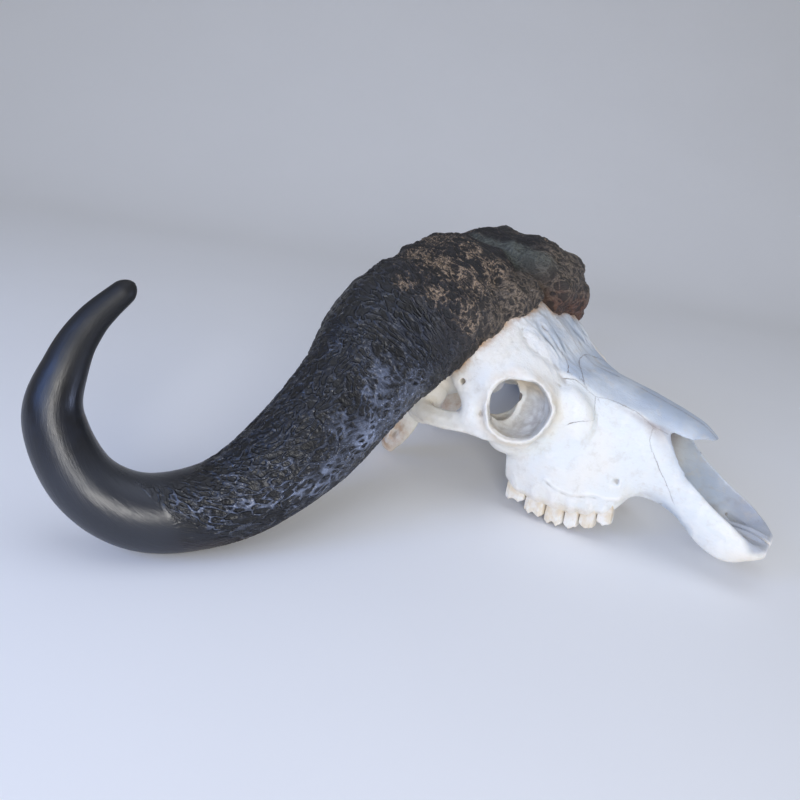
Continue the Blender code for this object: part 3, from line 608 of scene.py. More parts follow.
def carve_openings(obj):
    """Nose passage, eye sockets, braincase, nape opening, and the small holes of nerves and vessels."""
    passage, hollows, holes, rods = (bmesh.new() for _ in range(4))
    add_loft(passage, PASSAGE)
    for side in (-1, 1):
        place = orbit_matrix(side) @ Matrix.Translation((0, 0, -1.0))
        place = place @ Matrix.Diagonal((ORBIT_RADIUS, ORBIT_RADIUS, ORBIT_DEPTH, 1))
        bmesh.ops.create_uvsphere(hollows, u_segments=64, v_segments=48, radius=1, matrix=place)
        for centre, radii, pitch, turn in HOLES:
            add_lump(holes, centre, radii, side, pitch, turn)
        add_bar(rods, PALATE_ROD, side)
    for (centre, radii, pitch, turn), shape in zip(MIDDLE_HOLES, (holes, hollows, holes)):
        add_lump(shape, centre, radii, 1, pitch, turn)
    boolean(obj, passage)
    boolean(obj, hollows)
    boolean(obj, holes)
    boolean(obj, rods, "UNION")


def soften(obj, voxel, iterations):
    """Melt the shape into one even skin and round off its edges."""
    melt = obj.modifiers.new("Melt", "REMESH")
    melt.mode = "VOXEL"
    melt.voxel_size = voxel
    smooth = obj.modifiers.new("Smooth", "SMOOTH")
    smooth.iterations = iterations
    bake(obj)


def socket_coordinates(left):
    """Distance from the eye socket's axis, and height above its middle along it."""
    axis = np.array(ORBIT_AXIS) / np.linalg.norm(ORBIT_AXIS)
    gap = left - np.array(ORBIT_CENTRE)
    depth = gap @ axis
    return np.linalg.norm(gap - depth[:, None] * axis, axis=1), depth


def blend_surround(obj):
    """Melt the eye socket's ring into the cheek and brow, and leave its edge sharp."""
    points = vertex_array(obj.data)
    mirrored = np.abs(points) * (-1, 1, 1)
    radial, depth = socket_coordinates(mirrored)
    # From just outside the rim to 9.5 cm round it, but not on the cheek arch nor at the temple's small hole
    share = smoothstep(3.75, 4.30, radial) * smoothstep(9.5, 7.5, radial) * smoothstep(-6.0, -4.0, depth)
    share *= 1 - smoothstep(-31.0, -33.0, points[:, 0]) * smoothstep(14.0, 11.0, points[:, 2])
    share *= smoothstep(1.0, 1.6, np.linalg.norm(mirrored - TEMPLE_HOLE, axis=1))
    steps = np.round(share * SMOOTHING_STEPS).astype(int)
    group = obj.vertex_groups.new(name="surround")
    for step in range(1, SMOOTHING_STEPS + 1):
        group.add(np.nonzero(steps == step)[0].tolist(), step / SMOOTHING_STEPS, "REPLACE")
    smooth = obj.modifiers.new("Smooth", "SMOOTH")
    smooth.vertex_group = group.name
    smooth.iterations = SURROUND_SMOOTHING
    bake(obj)
    obj.vertex_groups.clear()


def forehead_grooves(left):
    """Uneven grooves and ridges that run from the horns down to the nose, from about -1 to 1."""
    x, y, z = left.T
    streams = np.stack([(0.77 * x - 0.64 * z) / 2.6, y / 0.75, 0 * y], axis=1)
    forehead = np.exp(-(((left - (-28.4, 4.4, 19.6)) / (3.6, 3.2, 3.4)) ** 2).sum(axis=1))
    return forehead * (noise_at(streams, 1.0, 83.0) + 0.45 * noise_at(streams * 2.1, 1.0, 87.0))


def shape_bone(obj, groove_depth):
    """Press grooves and ridges into the bone and roughen it."""
    points = vertex_array(obj.data)
    normals = vertex_array(obj.data, "normal")
    sides = np.where(points[:, 1:2] < 0, (1, -1, 1), (1, 1, 1))
    left = points * sides
    x, aside, z = left.T
    height = 0.035 * noise_at(points, 1.6)
    height += 0.022 * noise_at(points, 0.7, 7.0)
    height += 0.010 * noise_at(points, 0.33, 3.0)
    wander = np.stack([noise_at(points, 1.3, k * 9.1) for k in (1, 2, 3)], axis=1) * 0.12
    for width, depth, path in RELIEFS:
        gap = path_distance(left + wander, smooth_path(path))
        height -= depth * np.exp(-((gap / width) ** 2))
    near_boss = smoothstep(-27.5, -31.5, x) * smoothstep(17.5, 20.5, z)
    lumpy = 0.07 * noise_at(points, (1.2, 0.5, 0.9), 5.0)
    height += near_boss * (lumpy - 0.04 * ridges_at(points, 0.8, 2.0, 0.25))
    height += groove_depth * forehead_grooves(left)
    roots = smoothstep(4.4, 1.4, z) * smoothstep(5.0, 6.4, aside) * smoothstep(-31.5, -30.0, x)
    roots *= smoothstep(-17.0, -18.2, x)
    bulge = np.max([np.exp(-(((x - row[1]) / (row[4] * 0.36)) ** 2)) for row in TEETH], axis=0)
    height += roots * (0.20 * (bulge - 0.5) + 0.05 * noise_at(points, (0.4, 0.4, 0.9), 15.0))
    radial, depth = socket_coordinates(left)
    ragged = noise_at(points, 0.8, 61.0) + 0.6 * noise_at(points, 0.4, 67.0)
    ahead, above = x - ORBIT_CENTRE[0], z - ORBIT_CENTRE[2]
    low_front = smoothstep(-1.5, 3.0, 0.7 * ahead - 0.7 * above)
    bead = np.exp(-(((radial - 4.0) / 0.22) ** 2)) * smoothstep(-1.6, -0.6, depth) * low_front
    height += bead * (0.13 + 0.06 * ragged)
    height += np.exp(-(((radial - 3.8) / 0.45) ** 2)) * smoothstep(-2.5, -0.8, depth) * 0.05 * ragged
    nasal_seam = smoothstep(-26.5, -24.5, x) * smoothstep(10.0, 10.8, z)
    height -= nasal_seam * 0.025 * np.exp(-((points[:, 1] / 0.16) ** 2)) * (normals[:, 2] > 0.2)
    moved = points + normals * height[:, None]
    axis = np.array(ORBIT_AXIS) / np.linalg.norm(ORBIT_AXIS)
    away = left - np.array(ORBIT_CENTRE) - depth[:, None] * axis
    away /= np.maximum(radial, 0.5)[:, None]
    uneven = 0.20 * noise_at(away * 1.3, 1.0, 71.0) + 0.03 * noise_at(away * 3.3, 1.0, 73.0)
    uneven *= np.exp(-(((radial - 3.9) / 0.9) ** 2)) * smoothstep(-3.2, -1.6, depth)
    moved += away * sides * (2.2 * uneven)[:, None] + axis * sides * (1.2 * uneven)[:, None]
    set_vertices(obj.data, moved)


def thin_out(obj, triangles):
    obj.data.calc_loop_triangles()
    modifier = obj.modifiers.new("Thin", "DECIMATE")
    modifier.ratio = min(1.0, triangles / len(obj.data.loop_triangles))
    bake(obj)


def cad_tree(name):
    """Search tree of a solid's surface, in the skull's own centimetres."""
    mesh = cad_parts[name].data
    back = FRAME.inverted()
    mesh.calc_loop_triangles()
    return BVHTree.FromPolygons(
        [back @ vert.co for vert in mesh.vertices], [tuple(tri.vertices) for tri in mesh.loop_triangles]
    )


def edge_neighbours_mean(mesh, values, rounds):
    """Values spread over the surface by averaging along the edges."""
    edges = np.empty(len(mesh.edges) * 2, np.int32)
    mesh.edges.foreach_get("vertices", edges)
    a, b = edges.reshape(-1, 2).T
    count = np.bincount(a, minlength=len(values)) + np.bincount(b, minlength=len(values))
    for _ in range(rounds):
        total = np.zeros_like(values)
        for k in range(values.shape[1]):
            total[:, k] = np.bincount(a, values[b, k], len(values))
            total[:, k] += np.bincount(b, values[a, k], len(values))
        values = total / count[:, None]
    return values


def paint_bone(obj):
    """Where the bone is stained, warm, hollow or jointed, and where shade is painted on it, for the material.
    """
    mesh = obj.data
    points = vertex_array(mesh)
    normals = vertex_array(mesh, "normal")
    sides = np.where(points[:, 1:2] < 0, (1, -1, 1), (1, 1, 1))
    left = points * sides
    x, aside, z = left.T

    # How deep each point lies in a hollow: the material paints dust and shade there
    soft = edge_neighbours_mean(mesh, points, 8)
    hollow = np.einsum("ij,ij->i", soft - points, normals) / 0.12

    horn_gap = np.full(len(points), FAR_FROM_HORN)
    for name in ("horn_right", "horn_left"):
        tree = cad_tree(name)
        for i, point in enumerate(points.tolist()):
            distance = tree.find_nearest(point, HORN_REACH)[3]
            if distance is not None:
                horn_gap[i] = min(horn_gap[i], distance)
    blotch = noise_at(points, 1.7, 4.0) * 0.5 + noise_at(points, 0.6, 8.0) * 0.3
    seam = np.exp(-horn_gap / 0.80) * (0.70 + 0.6 * blotch)
    rear = smoothstep(-36.6, -40.5, x) * smoothstep(17.5, 13.0, z)
    streak = noise_at(points, (1.6, 0.35, 1.6), 12.0)
    hook = smoothstep(-43.8, -46.4, x) * smoothstep(8.5, 4.5, z) * smoothstep(5.0, 6.0, aside)
    temple = rear * smoothstep(12.4, 9.8, aside) * 0.16
    nape = smoothstep(-47.5, -50.0, x) * 0.30
    stain = seam + temple * (0.7 + 0.5 * blotch) + hook * (0.40 + 0.10 * blotch + 0.22 * streak)
    stain = np.clip(stain + nape * (0.8 + blotch), 0, 1)

    radial, depth = socket_coordinates(left)
    rim = np.exp(-(((radial - 4.1) / 0.8) ** 2)) * smoothstep(-2.8, -1.2, depth)
    rim *= 1 + 0.5 * noise_at(points, 1.1, 91.0)
    arch = smoothstep(-31.5, -36.0, x) * smoothstep(20.5, 17.0, z)
    brow = np.exp(-(((left - (-34.0, 9.5, 19.5)) / (3.0, 3.5, 2.6)) ** 2).sum(axis=1))
    muzzle = smoothstep(-6.5, -2.0, x) * smoothstep(2.2, 0.8, z) * 0.5
    teeth_line = smoothstep(1.8, 0.8, z) * smoothstep(-16.8, -18.4, x) * 0.45
    cavity = smoothstep(-2.2, -3.6, depth) * smoothstep(4.4, 3.6, radial) * smoothstep(12.6, 14.8, z)
    warm = np.clip(rim * 0.42 + arch * 0.22 + brow * 0.3 + muzzle + teeth_line + cavity * 0.9, 0, 1)
    # Painted shade: the forehead, the troughs of its grooves, the trough by the nose and the roof of the nose
    # are painted greyer and bluer, as the shade that lies there
    forehead_shade = np.exp(-(((left - (-29.6, 3.2, 20.8)) / (4.4, 3.8, 4.2)) ** 2).sum(axis=1)) * 1.2
    trough = smoothstep(-14.5, -12.0, x) * smoothstep(4.9, 4.2, aside) * smoothstep(1.2, 2.0, z)
    half = np.interp(
        x, [-27.0, -25.5, -23.6, -22.4, -17.7, -15.4, -13.0], [6.2, 5.6, 5.1, 4.9, 4.0, 4.1, 4.0]
    )
    painted_shade = smoothstep(0.15, -0.25, aside - half) * smoothstep(-28.0, -25.5, x)
    painted_shade *= smoothstep(-0.7, -0.1, normals[:, 2]) * smoothstep(10.0, 11.0, z)
    grooves = np.clip(-forehead_grooves(left), 0, 1)
    painted_shade = np.clip(painted_shade * (1 - 0.5 * grooves) + forehead_shade * 0.75 + trough + grooves, 0, 1)

    # Painted shade inside the nose passage, between its roof and floor, and over the trough towards the nose
    # tip
    inner = smoothstep(4.9, 4.1, aside) * smoothstep(-12.5, -15.5, x) * smoothstep(-44.0, -38.0, x)
    roof = np.interp(x, [-26.0, -20.0, -14.5, -11.5], [13.9, 14.3, 12.9, 12.2])
    floor = np.interp(x, [-26.0, -20.0, -14.5, -11.5, -8.5], [5.1, 5.0, 4.7, 3.9, 2.0])
    inner *= smoothstep(0.35, -0.1, z - roof) * smoothstep(-0.35, 0.1, z - floor)
    inner += 0.35 * trough * smoothstep(-8.5, -4.5, x)

    suture, suture_gap = np.full(len(points), 1.0), np.full(len(points), 1.0)
    left_normals = normals * sides
    for paths, where, facing in (
        (SUTURES, left, left_normals), (MIDDLE_SUTURES, points, normals), (RIGHT_CRACKS, points, normals)
    ):
        for path in paths:
            distance, sideways = seam_distance(where, facing, smooth_path(path))
            suture = np.where(distance < suture_gap, sideways, suture)
            suture_gap = np.minimum(distance, suture_gap)

    porous = np.clip(
        np.exp(-horn_gap / 1.6) * 0.9
        + smoothstep(-48.5, -50.0, x) * 0.7
        + smoothstep(2.8, 1.4, z) * smoothstep(-17.0, -18.5, x) * 0.8
        + smoothstep(-3.5, -1.0, x) * 0.8
        + rim * 0.4,
        0, 1,
    )
    fields = {
        "hollow": np.clip(hollow, -1, 1), "stain": stain, "warm": warm, "painted_shade": painted_shade, "groove": grooves,
        "inner": np.clip(inner, 0, 1), "suture": suture, "suture_gap": suture_gap, "porous": porous,
    }
    for name, values in fields.items():
        store(mesh, name, values)


def build_bone(props):
    voxel = centimetres(props.fineness)
    obj = bone_clay(voxel)
    carve_openings(obj)
    soften(obj, voxel, CUT_SMOOTHING)
    blend_surround(obj)
    shape_bone(obj, centimetres(props.groove_depth))
    thin_out(obj, props.triangles)
    paint_bone(obj)
    obj.data.transform(FRAME)
    finish_piece(obj, bone_material(props), "root", "bleached_bone", "skull")


# Horns

def horn_surface(props, side):
    """Rings of points on the sheath, their row numbers, their places on a straightened horn, their turns."""
    table = LEFT_BOSS + HORN[len(LEFT_BOSS):] if side > 0 else HORN
    fine = np.linspace(0, len(table) - 1, HORN_PATH_SAMPLES)
    path = between(table, fine)[:, :3]
    length = np.concatenate([[0], np.cumsum(np.linalg.norm(np.diff(path, axis=0), axis=1))])
    # Rings lie close on the rough part, wider apart on the smooth part, and closest at the tip
    crowd = np.interp(fine, [0, 6.5, 7.5, 11.7, 11.85, 12.0], [1.0, 1.0, 0.4, 0.36, 1.2, 2.4])
    share = np.concatenate([[0], np.cumsum(np.diff(length) * (crowd[1:] + crowd[:-1]) / 2)])
    where = np.interp(np.linspace(0, share[-1], HORN_ALONG), share, fine)
    along = np.interp(where, fine, length)
    rows = between(table, where)

    centre = rows[:, :3] * (1, side, 1)
    centre[0, 1] = side * BOSS_CLEFT / 2
    heading = np.gradient(centre, axis=0)
    heading[0] = (0, side, 0)
    heading /= np.linalg.norm(heading, axis=1)[:, None]
    first = np.exp(-where / 0.3)[:, None]
    heading = heading * (1 - first) + np.array((0, side, 0)) * first
    heading /= np.linalg.norm(heading, axis=1)[:, None]
    front = np.array((1.0, 0, 0)) - heading * heading[:, :1]
    front /= np.linalg.norm(front, axis=1)[:, None]
    up = np.cross(heading, front) * -side
    droop = np.radians(rows[:, 5])[:, None]
    across = front * np.cos(droop) - up * np.sin(droop)
    over = front * np.sin(droop) + up * np.cos(droop)

    turn = np.linspace(0, TAU, HORN_AROUND, endpoint=False)
    power = 2 / rows[:, 6][:, None]
    c = np.sign(np.cos(turn)) * np.abs(np.cos(turn)) ** power
    s = np.sign(np.sin(turn)) * np.abs(np.sin(turn)) ** power
    out = across[:, None] * c[..., None] + over[:, None] * s[..., None]
    end = np.clip(1 - (length[-1] - along) / TIP_LENGTH, 0, 1)
    blunt = np.sqrt(np.clip(1 - end**2, 0.01, 1))[:, None, None]
    rings = (
        centre[:, None]
        + across[:, None] * (rows[:, 3, None] * c)[..., None] * blunt
        + over[:, None] * (rows[:, 4, None] * s)[..., None] * blunt
    )
    rings += (heading * (end**2 * 0.3)[:, None])[:, None]
    out /= np.linalg.norm(out, axis=2)[..., None]
    lump_size, lump_height = centimetres(props.lump_size), centimetres(props.lump_height)
    weight = np.clip(1 - where / LUMPY_ROWS, 0, 1)
    for k in np.nonzero(weight > 0)[0]:
        lumps = [noise.fractal(Vector(point) / lump_size, 1.3, 2.1, 2) for point in rings[k]]
        dip = CLEFT_DIP * np.clip(s[k], 0, 1) * np.clip(1 - np.abs(rings[k][:, 1]) / CLEFT_SPREAD, 0, 1) ** 2
        rings[k] += out[k] * (lump_height * weight[k] * np.array(lumps) - dip)[:, None]
    rings[..., 1] = side * np.maximum(side * rings[..., 1], BOSS_CLEFT / 2)

    girth = np.sqrt(rows[:, 3] * rows[:, 4])[:, None]
    straight = np.stack(
        [np.broadcast_to(along[:, None], c.shape), girth * np.cos(turn), side * girth * np.sin(turn)], axis=2
    )
    return rings, where, straight, np.broadcast_to(turn, c.shape)


def cell_edges(points, size):
    """Thin borders between irregular cells."""
    scaled = np.asarray(points) / np.asarray(size)
    gaps = np.array([noise.voronoi(point)[0][:2] for point in scaled.tolist()])
    return 1 - smoothstep(0.12, 0.52, gaps[:, 1] - gaps[:, 0])


def horn_relief(props, straight, row, turn, side):
    """Height of the wrinkles in centimetres, and what the material reads: how ridged, rough and netted."""
    ridge_gap, ridge_height = centimetres(props.ridge_gap), centimetres(props.ridge_height)
    angle = (np.degrees(turn) + 180) % 360 - 180
    wide = np.stack([noise_at(straight, 2.8, k * 5.3 + side) for k in (1, 2, 3)], axis=1)
    fine = np.stack([noise_at(straight, 0.9, k * 7.7 + side) for k in (1, 2, 3)], axis=1)
    warped = straight + 0.5 * wide + 0.16 * fine
    low_band = np.exp(-(((angle - 46) / 23) ** 2))
    rough = smoothstep(0.35, -0.35, row + 0.35 * wide[:, 0] - ROUGH_END - 0.75 * low_band)
    boss = smoothstep(3.1, 1.7, row + 0.5 * wide[:, 1])
    net = low_band * smoothstep(3.0, 3.6, row + 0.3 * wide[:, 2])
    high_band = 0.55 * smoothstep(3.3, 3.8, row) * np.exp(-(((angle - 88) / 16) ** 2))
    net = np.clip(net + high_band * (wide[:, 1] > 0), 0, 1)

    # Wormy ridges: across the horn by the boss, along it farther out, in rings round the eyes
    lengthwise = smoothstep(3.0, 4.4, row + 0.6 * wide[:, 2])
    girth = np.linalg.norm(straight[:, 1:], axis=1)
    around = turn * girth
    eyes = np.zeros(len(row))
    rings = np.zeros(len(row))
    for eye_row, eye_turn, reach in EYES:
        near = np.argmin(np.abs(row - eye_row) * 10 + np.abs(angle - eye_turn) / 10)
        gap = np.stack([straight[:, 0] - straight[near, 0], (around - around[near]) * 1.3], axis=1)
        distance = np.linalg.norm(gap, axis=1) + 0.25 * fine[:, 0]
        weight = smoothstep(1.5 * reach, 0.8 * reach, distance)
        rings = np.where(weight > eyes, distance / (1.35 * ridge_gap), rings)
        eyes = np.maximum(eyes, weight)
    close, long = ridge_gap, 2.3 * ridge_gap
    cross = np.abs(noise_at(warped, (close, long, long), 31.0))
    along = np.abs(noise_at(warped, (long, close, close), 37.0))
    worms = smoothstep(0.20, 0.05, cross * (1 - lengthwise) + along * lengthwise)
    worms = worms * (1 - eyes) + eyes * smoothstep(0.30, 0.85, np.abs(np.cos(rings * np.pi)))
    cells = cell_edges(warped, (1.0, 0.68, 0.68)) * smoothstep(-0.5, -0.1, noise_at(straight, 1.1, 51.0))
    netted = net * smoothstep(5.7, 4.9, row)
    ridged = rough * (worms * (1 - netted) + np.maximum(cells, 0.3 * worms) * netted)

    height = ridged * ridge_height * (0.65 + 0.45 * net + 0.25 * boss)
    height += rough * 0.12 * noise_at(straight, 2.0, 21.0) * (0.35 + 0.65 * boss)
    height += rough * 0.05 * noise_at(straight, 0.8, 23.0)
    outer_edge = np.exp(-(((angle - 150) / 60) ** 2)) * smoothstep(8.6, 10.2, row)
    height += 0.11 * outer_edge * np.sin(straight[:, 0] * TAU / 2.6 + 2.0 * wide[:, 0])
    height += 0.010 * noise_at(straight, (3.0, 0.35, 0.35), 17.0)
    fields = {
        "warped": warped, "lengthwise": lengthwise, "ridged": ridged, "rough": rough, "boss": boss, "net": net
    }
    return height, fields


def build_horn(props, side, word, material):
    rings, where, straight, turn = horn_surface(props, side)
    step_along = np.gradient(rings, axis=0)
    step_around = np.roll(rings, -1, axis=1) - np.roll(rings, 1, axis=1)
    normals = np.cross(step_around, step_along) * side
    normals /= np.maximum(np.linalg.norm(normals, axis=2), 1e-9)[..., None]
    count = rings.shape[0] * rings.shape[1]
    flat = rings.reshape(count, 3)
    row = np.repeat(where, rings.shape[1])
    centre = np.repeat(rings.mean(axis=1), rings.shape[1], axis=0)
    normals = normals.reshape(count, 3)
    if np.mean(np.einsum("ij,ij->i", flat - centre, normals)) < 0:
        normals = -normals
    turn = turn.reshape(count)
    straight = straight.reshape(count, 3)
    height, fields = horn_relief(props, straight, row, turn, side)
    quiet = smoothstep(0.0, 0.12, row) * smoothstep(12.0, 11.8, row)
    moved = flat + normals * (height * quiet)[:, None]
    moved[:, 1] = side * np.maximum(side * moved[:, 1], BOSS_CLEFT / 2)
    bm = bmesh.new()
    add_skin(bm, moved.reshape(rings.shape))
    bmesh.ops.triangulate(bm, faces=[face for face in bm.faces if len(face.verts) > 4])
    obj = new_object(f"horn_sheath_{word}", bm)
    angle = (np.degrees(turn) + 180) % 360 - 180
    lip = smoothstep(78, 48, angle) * smoothstep(-60, -25, angle) * smoothstep(2.5, 1.3, row)
    cleft = smoothstep(1.7, 0.6, np.abs(flat[:, 1])) * smoothstep(20, 50, angle) * smoothstep(170, 140, angle)
    mirrored = flat * (1, side, 1)
    patch = np.zeros(count)
    for place, reach in PATCHES:
        gap = np.linalg.norm(mirrored - place, axis=1)
        patch = np.maximum(patch, np.exp(-((gap / reach) ** 2)))
    under = smoothstep(8, -14, angle) * smoothstep(-100, -60, angle) * smoothstep(7.0, 6.0, row)
    crack = path_distance(flat, HORN_CRACK, CRACK_REACH) if side < 0 else np.full(count, CRACK_REACH)
    fields.update(straight=straight, row=row, lip=lip, cleft=cleft, patch=patch, under=under, crack=crack)
    for name, values in fields.items():
        store(obj.data, name, values)
    obj.data.transform(FRAME)
    finish_piece(obj, material, "root", "black_horn", f"horn_{word}")


# Teeth

def build_tooth(props, side, word, tooth, material):
    """Worn cheek tooth: ribbed outer wall, pointed cusps, crescents and enamel folds on its chewing face."""
    number, x, y, low, length, width, lobes = tooth
    root = centimetres(props.root)
    wall = np.linspace(low + root + 1.0, low + 0.2, TOOTH_WALL_RINGS)
    levels = np.concatenate([wall, [low + 0.1, low + 0.03]])
    turn = np.linspace(0, TAU, TOOTH_AROUND, endpoint=False)
    c, s = np.cos(turn), np.sin(turn)
    rings, shares = [], []
    for z in levels:
        t = (z - low) / root
        scale = np.interp(t, [0, 0.04, 0.2, 0.6, 1.0, 1.5], [0.97, 1.02, 1.04, 1.03, 0.98, 0.9])
        ax = np.sign(c) * np.abs(c) ** 0.40 * length / 2 * scale
        ay = np.sign(s) * np.abs(s) ** 0.50 * width / 2 * scale
        px = ax / (length / 2 * scale)
        outer = smoothstep(0.1, 0.8, s)
        middle = np.exp(-((px / 0.13) ** 2)) if lobes == 2 else 0 * px
        styles = np.exp(-(((np.abs(px) - 0.93) / 0.14) ** 2)) + middle
        ribs = np.exp(-(((np.abs(px) - (0.5 if lobes == 2 else 0.0)) / 0.17) ** 2))
        inner = smoothstep(-0.1, -0.9, s) * middle
        ay += outer * (0.11 * styles + 0.06 * ribs - 0.07) + 0.22 * inner
        rings.append(np.stack([ax, ay, np.full(TOOTH_AROUND, z)], axis=1))
        shares.append(np.full(TOOTH_AROUND, 1.0))
    for share in np.linspace(0.96, 0.04, TOOTH_FACE_RINGS):
        ring = rings[len(levels) - 1].copy()
        ring[:, :2] *= share
        rings.append(ring)
        shares.append(np.full(TOOTH_AROUND, share))
    rings = np.array(rings)
    shares = np.array(shares).ravel()
    flat = rings.reshape(-1, 3)
    px = flat[:, 0] / (length / 2)
    py = flat[:, 1] / (width / 2)
    cusp = np.clip(1 - np.abs(np.abs(px + 0.08 * np.sin(number * 2.3)) * lobes - (lobes - 1)), 0, 1)
    outside = smoothstep(-0.2, 0.8, py)
    recess = (0.44 * outside + 0.20 * (1 - outside)) * (1 - cusp) + 0.14 * (1 - outside)
    bend = np.sqrt(((np.abs(px) - (0.48 if lobes == 2 else 0.0)) / (0.42 if lobes == 2 else 0.64)) ** 2
                   + ((py - 0.2) / 0.75) ** 2)
    folds = np.exp(-(((bend - 0.74) / 0.10) ** 2)) + np.exp(-(((shares - 0.91) / 0.05) ** 2)) * (shares < 1)
    pits = np.exp(-(((bend - 0.46) / 0.13) ** 2)) * (shares < 1)
    recess += (0.16 * pits + 0.13 * smoothstep(0.95, 0.6, shares) * (1 - folds)) * (shares < 0.97)
    local = flat.copy()
    face = smoothstep(0.10, 0.02, flat[:, 2] - low) * (shares < 0.93)
    flat[:, 2] += recess * smoothstep(1.0, 0.0, flat[:, 2] - low) ** 1.5
    flat[:, 0] += x
    flat[:, 1] = side * (y + flat[:, 1])
    worn = noise_at(flat, 0.35, number * 3.1) * 0.022 + noise_at(flat, (0.12, 0.12, 0.9), number) * 0.014
    flat[:, 2] += smoothstep(0.6, 0.0, local[:, 2] - low) * np.abs(noise_at(flat, 0.32, number * 1.7)) * 0.30
    push = local * (1, side, 0)
    push /= np.maximum(np.linalg.norm(push, axis=1), 0.05)[:, None]
    flat += push * worn[:, None]
    bm = bmesh.new()
    add_skin(bm, flat.reshape(rings.shape))
    obj = new_object(f"cheek_tooth_{word}_{number}", bm)
    mesh = obj.data
    store(mesh, "crown", np.clip((flat[:, 2] - low) / root, 0, 1))
    store(mesh, "dentine", np.clip(face * (1 - folds), 0, 1))
    store(mesh, "pit", np.clip(face * pits, 0, 1))
    mesh.transform(FRAME)
    finish_piece(obj, material, "root", "tooth_enamel", f"tooth_{word}_{number}")


# Materials

# Settings that several nodes share
SMOOTH = {"interpolation_type": "SMOOTHSTEP"}
COLOUR = {"data_type": "RGBA"}
ADD = {"operation": "ADD"}
SUBTRACT = {"operation": "SUBTRACT"}
MULTIPLY = {"operation": "MULTIPLY"}
ABSOLUTE = {"operation": "ABSOLUTE"}


def add_node(tree, kind, inputs, output=0, **settings):
    """Add a node, set its properties, and set or link its inputs, in order or by name. Returns one output."""
    node = tree.nodes.new("ShaderNode" + kind)
    for name, value in settings.items():
        setattr(node, name, value)
    for key, value in inputs.items() if isinstance(inputs, dict) else enumerate(inputs):
        if isinstance(value, bpy.types.NodeSocket):
            tree.links.new(value, node.inputs[key])
        elif node.inputs[key].type == "RGBA":
            node.inputs[key].default_value = (*value, 1.0)
        else:
            node.inputs[key].default_value = value
    return node.outputs[output] if node.outputs else None


def new_material(name):
    """An empty material, and the way to add a node to it."""
    material = bpy.data.materials.new(name)
    material.use_nodes = True
    material.node_tree.nodes.clear()
    return material, functools.partial(add_node, material.node_tree)


